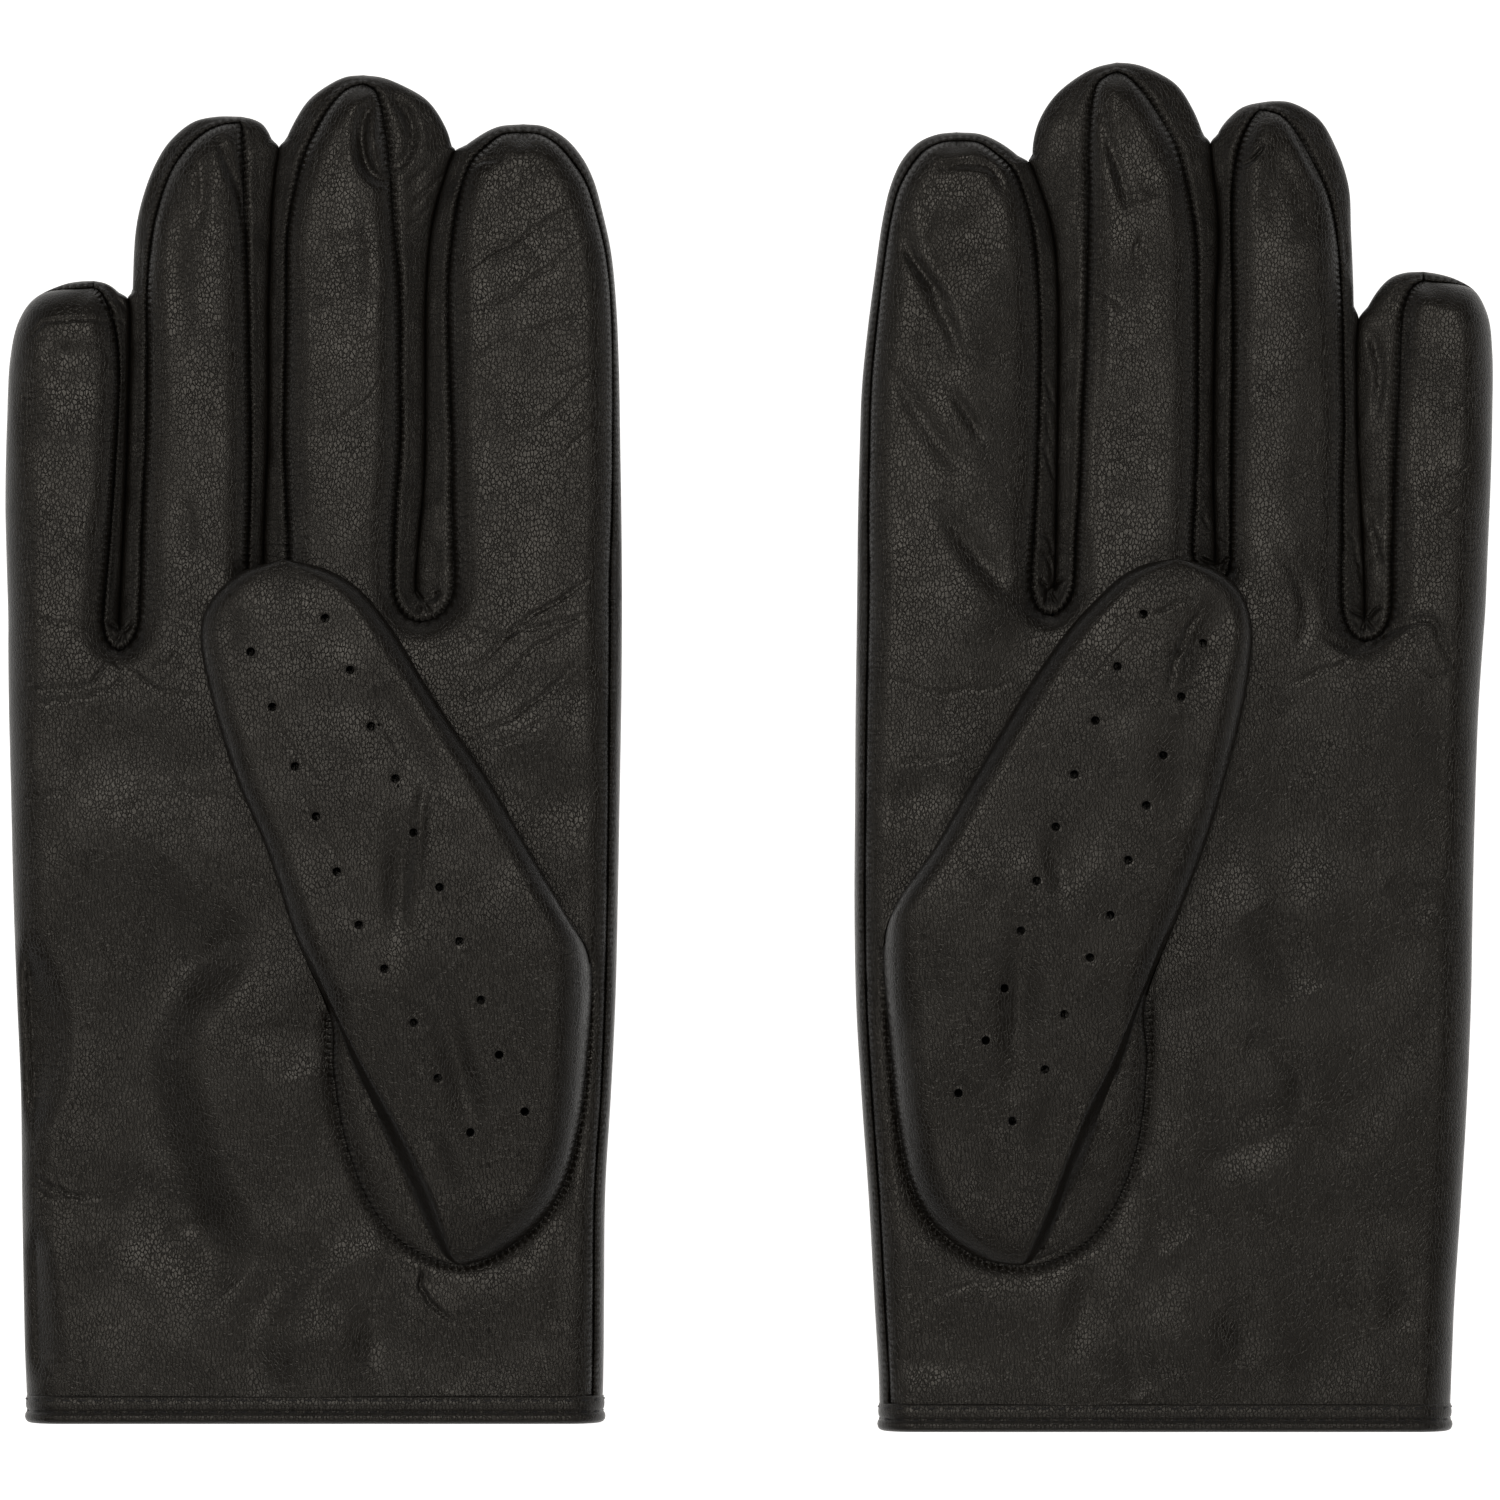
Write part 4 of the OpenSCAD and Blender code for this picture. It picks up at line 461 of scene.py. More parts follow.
def leather(name, base, rough, grain=1.0, folds=1.0, shift=0.0):
    m, nt, b = nodes_of(name)
    new, link = nt.nodes.new, nt.links.new

    def math_node(op, a=None, c=None, va=None, vc=None, clamp=False):
        q = new("ShaderNodeMath")
        q.operation = op
        q.use_clamp = clamp
        if a is not None:
            link(a, q.inputs[0])
        if c is not None:
            link(c, q.inputs[1])
        if va is not None:
            q.inputs[0].default_value = va
        if vc is not None:
            q.inputs[1].default_value = vc
        return q.outputs[0]

    def ranged(v, f0, f1, t0, t1):
        q = new("ShaderNodeMapRange")
        link(v, q.inputs["Value"])
        for k, w in (("From Min", f0), ("From Max", f1), ("To Min", t0), ("To Max", t1)):
            q.inputs[k].default_value = w
        return q.outputs["Result"]

    rest = new("ShaderNodeAttribute")
    rest.attribute_name = "rest"
    co = new("ShaderNodeMapping")
    co.inputs["Location"].default_value = (shift, shift * 0.7, shift * 0.3)
    link(rest.outputs["Vector"], co.inputs["Vector"])
    p = co.outputs["Vector"]
    sd = new("ShaderNodeAttribute")
    sd.attribute_name = "sd"
    sa = new("ShaderNodeAttribute")
    sa.attribute_name = "sa"

    def noise(scale, detail=2.0, rough_=0.5, vec=None, dist=0.0):
        q = new("ShaderNodeTexNoise")
        q.inputs["Scale"].default_value = scale
        q.inputs["Detail"].default_value = detail
        q.inputs["Roughness"].default_value = rough_
        q.inputs["Distortion"].default_value = dist
        link(vec or p, q.inputs["Vector"])
        return q.outputs["Fac"]

    # grain: rounded cells about half a millimetre across, warped so that they aren't regular
    warp = new("ShaderNodeTexNoise")
    warp.inputs["Scale"].default_value = 0.8
    warp.inputs["Detail"].default_value = 2.0
    link(p, warp.inputs["Vector"])
    mix = new("ShaderNodeVectorMath")
    mix.operation = "MULTIPLY_ADD"
    link(warp.outputs["Color"], mix.inputs[0])
    mix.inputs[1].default_value = (0.5, 0.5, 0.5)
    longer = new("ShaderNodeMapping")
    longer.inputs["Scale"].default_value = (1.28, 0.78, 1.0)
    link(p, longer.inputs["Vector"])
    link(longer.outputs["Vector"], mix.inputs[2])
    vor = new("ShaderNodeTexVoronoi")
    vor.feature = "DISTANCE_TO_EDGE"
    vor.inputs["Scale"].default_value = 1.4
    vor.inputs["Randomness"].default_value = 1.0
    link(mix.outputs[0], vor.inputs["Vector"])
    cells = ranged(vor.outputs["Distance"], 0.0, 0.15, 0.0, 1.0)
    cells = math_node("POWER", cells, vc=0.8, clamp=True)
    fine = noise(5.0, 2.0, 0.6)
    patch = ranged(noise(0.12, 2.0, 0.5), 0.35, 0.65, 0.7, 1.0)
    # folds: soft wrinkles of the skin, stronger in some places
    pull = new("ShaderNodeMapping")
    pull.inputs["Scale"].default_value = (1.0, 0.45, 1.0)
    pull.inputs["Rotation"].default_value = (0, 0, math.radians(28))
    link(p, pull.inputs["Vector"])
    soft = noise(0.42, 4.0, 0.55, pull.outputs["Vector"], 0.4)
    pull2 = new("ShaderNodeMapping")
    pull2.inputs["Scale"].default_value = (0.5, 1.1, 1.0)
    pull2.inputs["Rotation"].default_value = (0, 0, math.radians(-12))
    link(p, pull2.inputs["Vector"])
    ridge = noise(0.7, 3.0, 0.5, pull2.outputs["Vector"], 0.6)
    lines = math_node("ABSOLUTE", math_node("SUBTRACT", ridge, vc=0.5))
    lines = ranged(lines, 0.0, 0.035, 0.0, 1.0)
    lines = math_node("POWER", lines, vc=0.5, clamp=True)
    where = ranged(noise(0.06, 1.0, 0.5), 0.48, 0.62, 0.0, 1.0)

    # puckers where a seam pulls
    wave = math_node("SINE", math_node("MULTIPLY", sa.outputs["Fac"], vc=2 * math.pi / 1.2))
    near = ranged(sd.outputs["Fac"], 0.15, 1.1, 1.0, 0.0)
    pucker = math_node("MULTIPLY", wave, near)

    def bump(height, dist, strength, normal=None):
        q = new("ShaderNodeBump")
        q.inputs["Distance"].default_value = dist
        q.inputs["Strength"].default_value = strength
        link(height, q.inputs["Height"])
        if normal is not None:
            link(normal, q.inputs["Normal"])
        return q.outputs["Normal"]

    nrm = bump(soft, 0.00005 * folds, 1.0)
    nrm = bump(math_node("MULTIPLY", lines, where), 0.00002 * folds, 1.0, nrm)
    nrm = bump(pucker, 0.00013, 1.0, nrm)
    nrm = bump(math_node("MULTIPLY", cells, patch), 0.00004 * grain, 1.0, nrm)
    nrm = bump(fine, 0.000012 * grain, 0.8, nrm)
    link(nrm, b.inputs["Normal"])

    ramp = new("ShaderNodeValToRGB")
    ramp.color_ramp.elements[0].position = 0.3
    ramp.color_ramp.elements[1].position = 0.7
    ramp.color_ramp.elements[0].color = (base[0] * 0.82, base[1] * 0.80, base[2] * 0.78, 1)
    ramp.color_ramp.elements[1].color = (base[0] * 1.18, base[1] * 1.18, base[2] * 1.16, 1)
    link(noise(0.09, 3.0, 0.55), ramp.inputs["Fac"])
    # base colour: darker in the grain's furrows (the grain's own tone) and darker within about 0.4 mm of the seams,
    # which is painted shade in the seam valleys
    shade = math_node("MULTIPLY", ranged(cells, 0.0, 1.0, 0.4, 1.0), ranged(sd.outputs["Fac"], 0.05, 0.4, 0.5, 1.0))
    grain_tone_and_seam_shade = new("ShaderNodeMix")
    grain_tone_and_seam_shade.data_type = "RGBA"
    grain_tone_and_seam_shade.blend_type = "MULTIPLY"
    grain_tone_and_seam_shade.inputs["Factor"].default_value = 1.0
    link(ramp.outputs["Color"], grain_tone_and_seam_shade.inputs[6])
    link(shade, grain_tone_and_seam_shade.inputs[7])
    link(grain_tone_and_seam_shade.outputs[2], b.inputs["Base Color"])
    r = math_node("ADD", ranged(noise(0.25, 3.0, 0.6), 0.3, 0.7, rough - 0.045, rough + 0.045), ranged(fine, 0.3, 0.7, -0.03, 0.03))
    r = math_node("ADD", r, ranged(cells, 0.0, 1.0, 0.10, 0.0))
    link(r, b.inputs["Roughness"])
    b.inputs["Specular IOR Level"].default_value = 0.5
    return m


def thread_material(name, base):
    m, nt, b = nodes_of(name)
    rest = nt.nodes.new("ShaderNodeAttribute")
    rest.attribute_name = "rest"
    w = nt.nodes.new("ShaderNodeTexWave")
    w.inputs["Scale"].default_value = 1.1
    w.inputs["Distortion"].default_value = 1.0
    w.bands_direction = "DIAGONAL"
    nt.links.new(rest.outputs["Vector"], w.inputs["Vector"])
    bump = nt.nodes.new("ShaderNodeBump")
    bump.inputs["Distance"].default_value = 0.00004
    bump.inputs["Strength"].default_value = 0.8
    nt.links.new(w.outputs["Fac"], bump.inputs["Height"])
    nt.links.new(bump.outputs["Normal"], b.inputs["Normal"])
    ramp = nt.nodes.new("ShaderNodeValToRGB")
    ramp.color_ramp.elements[0].color = (base[0] * 0.6, base[1] * 0.6, base[2] * 0.6, 1)
    ramp.color_ramp.elements[1].color = (*base, 1)
    nt.links.new(w.outputs["Fac"], ramp.inputs["Fac"])
    nt.links.new(ramp.outputs["Color"], b.inputs["Base Color"])
    b.inputs["Roughness"].default_value = 0.55
    return m


def enamel(name, base):
    m, nt, b = nodes_of(name)
    tc = nt.nodes.new("ShaderNodeTexCoord")
    n = nt.nodes.new("ShaderNodeTexNoise")
    n.inputs["Scale"].default_value = 900
    n.inputs["Detail"].default_value = 3
    nt.links.new(tc.outputs["Object"], n.inputs["Vector"])
    ramp = nt.nodes.new("ShaderNodeValToRGB")
    ramp.color_ramp.elements[0].color = (base[0] * 0.7, base[1] * 0.7, base[2] * 0.7, 1)
    ramp.color_ramp.elements[1].color = (base[0] * 1.2, base[1] * 1.2, base[2] * 1.2, 1)
    nt.links.new(n.outputs["Fac"], ramp.inputs["Fac"])
    nt.links.new(ramp.outputs["Color"], b.inputs["Base Color"])
    mr = nt.nodes.new("ShaderNodeMapRange")
    mr.inputs["To Min"].default_value = 0.22
    mr.inputs["To Max"].default_value = 0.36
    nt.links.new(n.outputs["Fac"], mr.inputs["Value"])
    nt.links.new(mr.outputs["Result"], b.inputs["Roughness"])
    b.inputs["Metallic"].default_value = 0.6
    return m


BASE = (0.0074, 0.0054, 0.0034)
M_LEATHER = leather("leather", BASE, 0.32)
M_INSET = leather("leather_inset", (BASE[0] * 0.9, BASE[1] * 0.9, BASE[2] * 0.9), 0.37, folds=1.5, shift=31.0)
M_BIND = leather("leather_binding", (BASE[0] * 0.95, BASE[1] * 0.95, BASE[2] * 0.95), 0.36, folds=0.6, shift=77.0)
M_THREAD = thread_material("thread", (0.012, 0.012, 0.016))
M_SNAP = enamel("snap_enamel", (0.03, 0.03, 0.032))


# ---------------------------------------------------------------- building one glove
def chains(g):
    """The five edges of a glove: ulnar side, three forks and radial side. Columns: silhouette x, y, seam x, y."""
    out = [np.array(g["hand_out"] + g["little_out"], float)]
    for k, (a, b) in enumerate((("little_in", "ring_out"), ("ring_in", "middle_out"), ("middle_in", "index_in"))):
        out.append(np.array(g[a][::-1] + g["forks"][k] + g[b], float))
    out.append(np.array(g["hand_in"] + g["index_out"], float))
    return [spline(c, 0.35) for c in out]


def halves(chain, col):
    """Splits a fork's chain at its lowest point of the seam (col 2) or silhouette (col 0): two curves from the fork to a tip."""
    i = int(chain[:, col + 1].argmin())
    return chain[i::-1, col:col + 2], chain[i:, col:col + 2]


def rising(c):
    """Makes a curve's y rise all the way, so that x can be read at any y."""
    y = np.maximum.accumulate(c[:, 1] + np.arange(len(c)) * 1e-7)
    return np.stack([c[:, 0], y], 1)


def build(side, g):
    wid = {"right": 11, "left": 23}[side]
    sgn = {"right": 1, "left": -1}[side]
    ch = chains(g)
    for k in (1, 2, 3):  # neighbouring fingers lie against each other
        c = ch[k]
        i = int(c[:, 1].argmin())
        a, b = rising(c[i::-1, 0:2]), rising(c[i:, 0:2])
        new = c[:, 0].copy()
        ya, yb = c[:i + 1, 1], c[i:, 1]
        ga = np.interp(ya, b[:, 1], b[:, 0]) - c[:i + 1, 0]
        gb = c[i:, 0] - np.interp(yb, a[:, 1], a[:, 0])
        new[:i + 1] += smooth(2.6, 1.5, ga) * np.clip(ga / 2 + 0.05, 0, 2) * (ya <= b[-1, 1] + 0.5)
        new[i:] -= smooth(2.6, 1.5, gb) * np.clip(gb / 2 + 0.05, 0, 2) * (yb <= a[-1, 1] + 0.5)
        c[:, 0] = new
    ulnar_w = smooth(0.955, 0.995, np.linspace(0, 1, len(ch[0])))[:, None]
    front_edge = [ch[0][:, 0:2] * (1 - ulnar_w) + ch[0][:, 2:4] * ulnar_w] + [c[:, 2:4] for c in ch[1:]]
    sil = [c[:, 0:2] for c in ch]

    # bounds of the four strips, front and back
    def strips(col):
        edges = [front_edge[0] if col == 2 else sil[0]]
        for c in ch[1:4]:
            a, b = halves(c, col)
            edges += [a, b]
        edges.append(ch[4][:, col:col + 2])
        out = []
        for k in range(4):
            l, r = edges[2 * k], edges[2 * k + 1]
            out.append((rising(l), rising(r)))
        return out

    oval = spline([s[0:2] for s in g["thumb"][:7]][::-1] + [s[2:4] for s in g["thumb"][1:7]], 0.4)

    # ---- height of the palm side
    def front_z(x, y):
        p = np.stack([x, y], 1)
        z = np.full(len(x), Z_PALM)
        d0, at0 = nearest(front_edge[0], p)
        deep0 = np.interp(at0, np.arange(len(ulnar_w)), (Z_PALM - Z_MID) * (1 - ulnar_w[:, 0]) + 2.6 * ulnar_w[:, 0])
        drop0 = deep0 * roll(d0, 6.0, 2.0)
        best = np.full(len(x), 99.0)
        arc = np.zeros(len(x))
        finger = smooth(118, 150, y)
        flat_a, flat_b = np.ones(len(x)), 1 - (1 - np.clip((d0 + 3) / 13, 0, 1)) ** 2
        for c in front_edge[1:]:
            near = (x > c[:, 0].min() - 14) & (x < c[:, 0].max() + 14) & (y > c[:, 1].min() - 14)
            d, at = nearest(c, p[near])
            flat_a[near] *= 1 - roll(d, 3.6 + 0.8 * finger[near], 1.9)
            flat_b[near] *= 1 - (1 - np.clip(d / 13, 0, 1)) ** 2
            less = d < best[near]
            b, a = best[near], arc[near]
            b[less], a[less] = d[less], at[less] * 0.35
            best[near], arc[near] = b, a
        drop1 = (1.9 + 0.5 * finger) * (1 - flat_a) + (0.3 + 0.35 * finger) * (1 - flat_b)
        z = z - drop0 - drop1 * (1 - np.clip(drop0 / 5.2, 0, 1))
        do, ao = nearest(oval, p)
        low = smooth(84, 70, y)
        z = z - 1.0 * low * roll(do, 2.6, 1.8) - 0.5 * low * np.exp(-(do / 5) ** 2)
        arc = np.where(do < best, ao * 0.4, arc)
        sd = np.minimum(best, np.where(y < 86, do, 99))
        calm = np.clip(np.minimum(sd, d0) / 4, 0.25, 1)
        z = z - creased(x, y, g["creases"]) * np.clip(sd / 0.6, 0, 1) - np.clip(np.minimum(sd, d0) / 2.5, 0, 1) * (dented(x, y, g["dents"]) + stepped(x, y, g["steps"], sgn))
        z = z + calm * (0.30 * lattice(x, y, 26, wid) + 0.16 * lattice(*turned(x, y, 35), 11, wid + 1) + 0.06 * lattice(*turned(x, y * 0.6, -20), 4.5, wid + 2))
        return z, sd, arc

    # ---- height of the back
    hole_r = 0.75

    def back_z(x, y):
        p = np.stack([x, y], 1)
        d = np.full(len(x), 99.0)
        for k, c in enumerate(sil):
            near = (x > c[:, 0].min() - 8) & (x < c[:, 0].max() + 8) & (y > c[:, 1].min() - 8)
            dd, _ = nearest(c, p[near])
            d[near] = np.minimum(d[near], dd)
        z = Z_BACK + (Z_MID - Z_BACK) * roll(d, 5.4, 2.0)
        inner = smooth(132, 150, y)
        z = z + 0.45 * inner * np.exp(-((d - 3.0) / 0.45) ** 2)
        z = z + 0.12 * np.clip(d / 6, 0, 1) * lattice(x, y, 18, wid + 5)
        return z, np.abs(d - 3.0) * np.where(inner > 0.4, 1, 0) + np.where(inner > 0.4, 0, 9)

    def rows_of(tip, step, fine):
        a = np.arange(0.6, tip - 12, step)
        n = int(round(24 / step * fine))
        b = tip - (tip - a[-1] - step) * (1 - np.linspace(0, 1, n)) ** 2
        return np.concatenate([a, b])

    def strip_grid(l, r, ncol, step, cluster):
        tip = min(l[-1, 1], r[-1, 1])
        y = rows_of(tip, step, 1.0)
        u = np.linspace(0, 1, ncol)
        t = u - cluster * np.sin(2 * np.pi * u) / (2 * np.pi)
        xl, xr = np.interp(y, l[:, 1], l[:, 0]), np.interp(y, r[:, 1], r[:, 0])
        xl = np.where(y >= tip - 1e-6, 0.5 * (l[-1, 0] + r[-1, 0]), xl)
        xr = np.where(y >= tip - 1e-6, 0.5 * (l[-1, 0] + r[-1, 0]), xr)
        x = xl[:, None] + (xr - xl)[:, None] * t[None, :]
        return x, np.repeat(y[:, None], ncol, 1)

    palm, made = Piece(), {}
    for k, (name, (l, r)) in enumerate(zip(FINGERS, strips(2))):
        x, y = strip_grid(l, r, 70, 0.5, 0.6)
        z, sd, sa = front_z(x.ravel(), y.ravel())
        p = np.stack([x, y, z.reshape(x.shape)], 2)
        n = grid_normals(p)
        if k == 0:  # the ulnar edge turns straight down into the fold
            edge = unit(np.stack([-np.gradient(p[:, 0, 1]), np.gradient(p[:, 0, 0]), 0 * p[:, 0, 0]], 1))
            n[:, 0] = edge
        sd, sa = sd.reshape(x.shape), sa.reshape(x.shape)
        cut = int(np.searchsorted(y[:, 0], g["split"][name]))
        nc = x.shape[1]
        a = cut + 1
        f = grid_faces(a, nc)
        pa, na = p[:a].reshape(-1, 3), n[:a].reshape(-1, 3)
        mid = pa[f].mean(1)
        d, _ = nearest(oval, mid[:, :2])
        f = f[~(inside(oval, mid[:, :2]) & (d > 2.5))]
        palm.add(pa, f, na, sd[:a], sa[:a])
        q = Piece().add(p[cut:].reshape(-1, 3), grid_faces(x.shape[0] - cut, nc), n[cut:].reshape(-1, 3), sd[cut:], sa[cut:])
        made[name + "_front"] = (q.weld(), name)
    made["palm_panel"] = (palm.weld(), None)

    # ---- side strips between seam and silhouette
    prof_t = np.array([0, .12, .3, .5, .68, .84, 1.0])
    prof_g = np.array([0, .12, .36, .64, .85, .97, 1.0])
    prof_z = np.array([0, .10, .06, -.12, -.38, -.68, -1.0])
    tt = np.linspace(0, 1, 18)
    gg, zz = np.interp(tt, prof_t, prof_g), np.interp(tt, prof_t, prof_z)
    for _ in range(3):
        gg[1:-1] = (gg[:-2] + 2 * gg[1:-1] + gg[2:]) / 4
        zz[1:-1] = (zz[:-2] + 2 * zz[1:-1] + zz[2:]) / 4

    def band(k, lo, hi, flip):
        """Side strip of edge k between two places along it."""
        c = ch[k][lo:hi]
        s, o = front_edge[k][lo:hi], c[:, 0:2]
        if k == 0:
            keep = np.linalg.norm(s - o, axis=1) > 0.08
            if keep.sum() < 4:
                return None
            first = max(0, int(np.argmax(keep)) - 1)
            c, s, o = c[first:], s[first:], o[first:]
        zs, sd, sa = front_z(s[:, 0], s[:, 1])
        w = np.linalg.norm(o - s, axis=1)
        fat = np.clip(w / 2.5, 0, 1)
        x = s[:, None, :] + (o - s)[:, None, :] * gg[None, :, None]
        bulge = np.where(zz > 0, zz * 4.5 * fat[:, None], zz * (zs - Z_MID)[:, None])
        z = zs[:, None] + bulge
        # wrinkles of the strip, where it is wide
        arc = np.cumsum(np.concatenate([[0], np.linalg.norm(np.diff(s, axis=0), axis=1)]))
        wob = lattice(arc[:, None] + 0 * gg[None, :] + 40 * k, gg[None, :] * w[:, None] * 1.3 + 0 * arc[:, None], 3.6, wid + 7 + k)
        z = z + wob * 0.22 * fat[:, None] * np.sin(np.pi * tt)[None, :]
        wr = (creased(x[:, :, 0].ravel(), x[:, :, 1].ravel(), g["creases"]) + dented(x[:, :, 0].ravel(), x[:, :, 1].ravel(), g["dents"])).reshape(z.shape)
        z = z - np.clip(wr, -0.9, 1.6) * np.sin(np.pi * tt)[None, :] ** 0.7
        p = np.concatenate([x, z[:, :, None]], 2)
        n = grid_normals(p, flip)
        tang = unit(np.gradient(o, axis=0))
        side_n = np.stack([tang[:, 1], -tang[:, 0]], 1)
        away = unit(o - s)
        side_n = side_n * np.sign((side_n * away).sum(1))[:, None]
        n[:, -1] = np.concatenate([side_n, np.zeros((len(o), 1))], 1)
        q = gg[None, :] * w[:, None]
        return p.reshape(-1, 3), grid_faces(p.shape[0], p.shape[1], flip), n.reshape(-1, 3), q.ravel(), np.repeat(arc[:, None], len(gg), 1).ravel()

    # returns a grid part unchanged
    def up(part):
        if part is None:
            return None
        v, f, n = part[0], part[1], part[2]
        return part

    def add_band(piece, k, lo, hi):
        c = ch[k][lo:hi]
        m = len(c) // 2
        a, b = c[m], c[min(m + 1, len(c) - 1)]
        along, out = b[2:4] - a[2:4], a[0:2] - a[2:4]
        flip = (out[0] * along[1] - out[1] * along[0]) < 0
        part = band(k, lo, hi, flip)
        if part is not None:
            piece.add(*part)

    def place_at(k, half, y):
        """Index along fork chain k where its seam passes y, on its left (0) or right (1) half."""
        i = int(ch[k][:, 3].argmin())
        if half == 0:
            return i - int(np.searchsorted(rising(ch[k][i::-1, 2:4])[:, 1], y))
        return i + int(np.searchsorted(rising(ch[k][i:, 2:4])[:, 1], y))

    gussets = Piece()
    bands = {n: Piece() for n in FINGERS}
    for k in (1, 2, 3):
        lo, hi = place_at(k, 0, g["split"][FINGERS[k - 1]]), place_at(k, 1, g["split"][FINGERS[k]])
        add_band(bands[FINGERS[k - 1]], k, 0, lo + 1)
        add_band(gussets, k, lo, hi + 1)
        add_band(bands[FINGERS[k]], k, hi, len(ch[k]))
    wall = Piece()
    cut = int(np.searchsorted(ch[4][:, 3], g["split"]["index"]))
    add_band(wall, 4, int(np.searchsorted(ch[4][:, 3], 0.6)), cut + 1)
    add_band(bands["index"], 4, cut, len(ch[4]))
    cut0 = int(np.searchsorted(ch[0][:, 3], g["split"]["little"]))
    add_band(bands["little"], 0, cut0, len(ch[0]))
    made["crotch_gussets"] = (gussets.weld(), None)
    made["side_seam_wall"] = (wall.weld(), None)
    for n in FINGERS:
        made[n + ("_fourchette" if n in ("little", "index") else "_fourchettes")] = (bands[n].weld(), n)

    # ---- back of the hand and fingers
    vent = [2.0, 60.0, 20.0, 26.0]
    slit = 7.0
    back, fold = Piece(), Piece()
    for k, (name, (l, r)) in enumerate(zip(FINGERS, strips(0))):
        x, y = strip_grid(l, r, 44, 0.8, 0.6)
        z, sd = back_z(x.ravel(), y.ravel())
        p = np.stack([x, y, z.reshape(x.shape)], 2)
        n = grid_normals(p, True)
        nc = x.shape[1]
        if k == 0:
            n[:, 0] = unit(np.stack([-np.gradient(p[:, 0, 1]), np.gradient(p[:, 0, 0]), 0 * p[:, 0, 0]], 1))
        if k == 3:
            n[:, -1] = unit(np.stack([np.gradient(p[:, -1, 1]), -np.gradient(p[:, -1, 0]), 0 * p[:, 0, 0]], 1))
        sd = sd.reshape(x.shape)
        cut = int(np.searchsorted(y[:, 0], g["split"][name]))
        a = cut + 1
        f = grid_faces(a, nc, True)
        pa, na = p[:a].reshape(-1, 3), n[:a].reshape(-1, 3)
        mid = pa[f].mean(1)
        out = ((mid[:, 0] - vent[0]) / (vent[2] + 0.6)) ** 2 + ((mid[:, 1] - vent[1]) / (vent[3] + 0.6)) ** 2 < 1
        out |= (np.abs(mid[:, 0] - slit) < 2.1) & (mid[:, 1] < vent[1])
        f = f[~out]
        back.add(pa, f, na, sd[:a])
        v, ff, nn = p[cut:].reshape(-1, 3), grid_faces(x.shape[0] - cut, nc, True), n[cut:].reshape(-1, 3)
        # punched rows
        base = np.array([(l[0, 0] + r[0, 0]) / 2, 0])
        y0 = {"little": 139.4, "ring": 151.4, "middle": 152.4, "index": 146.4}[name] if side == "right" else {"little": 142.4, "ring": 154.4, "middle": 154.4, "index": 148.4}[name]
        tip = p[-1, 0]
        i0 = int(np.searchsorted(y[:, 0], y0))
        root = (p[i0, 0] + p[i0, -1]) / 2
        d = unit((tip - root)[:2])
        count = int((np.linalg.norm((tip - root)[:2]) - 20) // 9.5)
        holes = [root[:2] + d * (14 + i * 9.5 + (4.75 if s > 0 else 0)) + np.array([d[1], -d[0]]) * s * 4 for i in range(count) for s in (-1, 1)]
        v, ff, nn = punch(v, ff, nn, holes, hole_r, 0.7, up=-1.0, k=16)
        made[name + "_back"] = (Piece().add(v, ff, nn), name)
    made["back_panel"] = (back.weld(), None)

    # ---- thumb
    th = spline(g["thumb"], 0.5)
    ncol = 96
    u = np.linspace(0, 1, ncol)
    t = u - 0.55 * np.sin(2 * np.pi * u) / (2 * np.pi)
    lft, rgt = th[:, 0:2], th[:, 2:4]
    wide = np.linalg.norm(rgt - lft, axis=1)
    xy = lft[:, None, :] + (rgt - lft)[:, None, :] * t[None, :, None]
    dl, dr = t[None, :] * wide[:, None], (1 - t)[None, :] * wide[:, None]
    share = th[:, 6]
    ridge = np.maximum(th[:, 4] * wide, 0.6)
    foot = 11.0 + (Z_THUMB_MID - 11.0) * smooth(0.2, 1.0, share)
    crown = th[:, 5]
    # base: a facet up to the ridge on the ulnar side, a round shoulder on the radial side
    uu = dl / ridge[:, None]
    left_base = 0.20 * (1 - roll(uu, 0.5, 2.0)) + 0.70 * smooth(0.70, 1.04, uu) + 0.10 * np.clip((uu - 1) * ridge[:, None] / 9, 0, 1)
    rr = np.minimum(7.0, wide * 0.5)[:, None]
    right_base = 1 - roll(dr, np.maximum(rr, 0.5), 2.0)
    rt = np.minimum(4.6, np.maximum(wide * 0.5, 0.3))[:, None]
    left_th, right_th = 1 - roll(dl, rt, 2.1), 1 - roll(dr, rt, 2.1)
    m = smooth(0.0, 1.0, share)[:, None]
    pl, pr = left_base * (1 - m) + left_th * m, right_base * (1 - m) + right_th * m
    z = foot[:, None] + (crown - foot)[:, None] * pl * pr
    mid = np.clip(1 - (2 * t[None, :] - 1) ** 2, 0, 1)
    z = z + 0.28 * mid * m - 0.0
    X, Y = xy[:, :, 0], xy[:, :, 1]
    soft = np.minimum(dl, dr)
    calm = np.clip(soft / 4, 0.15, 1)
    z = z + calm * (0.22 * lattice(X, Y, 17, wid + 31) + 0.10 * lattice(*turned(X, Y, 50), 7, wid + 32))
    z = z - creased(X.ravel(), Y.ravel(), g["thumb_creases"]).reshape(X.shape) - dented(X.ravel(), Y.ravel(), g["thumb_dents"]).reshape(X.shape)
    top = np.concatenate([xy, z[:, :, None]], 2)
    n = grid_normals(top)
    on = share > 0.5
    for col, sgn in ((0, -1), (-1, 1)):
        e = top[:, col]
        tn = unit(np.stack([sgn * np.gradient(e[:, 1]), -sgn * np.gradient(e[:, 0]), 0 * e[:, 0]], 1))
        n[on, col] = tn[on]
    n[-1] = np.array([0, 1.0, 0])
    ca, cb = np.array(g["crease"][0]), np.array(g["crease"][1])
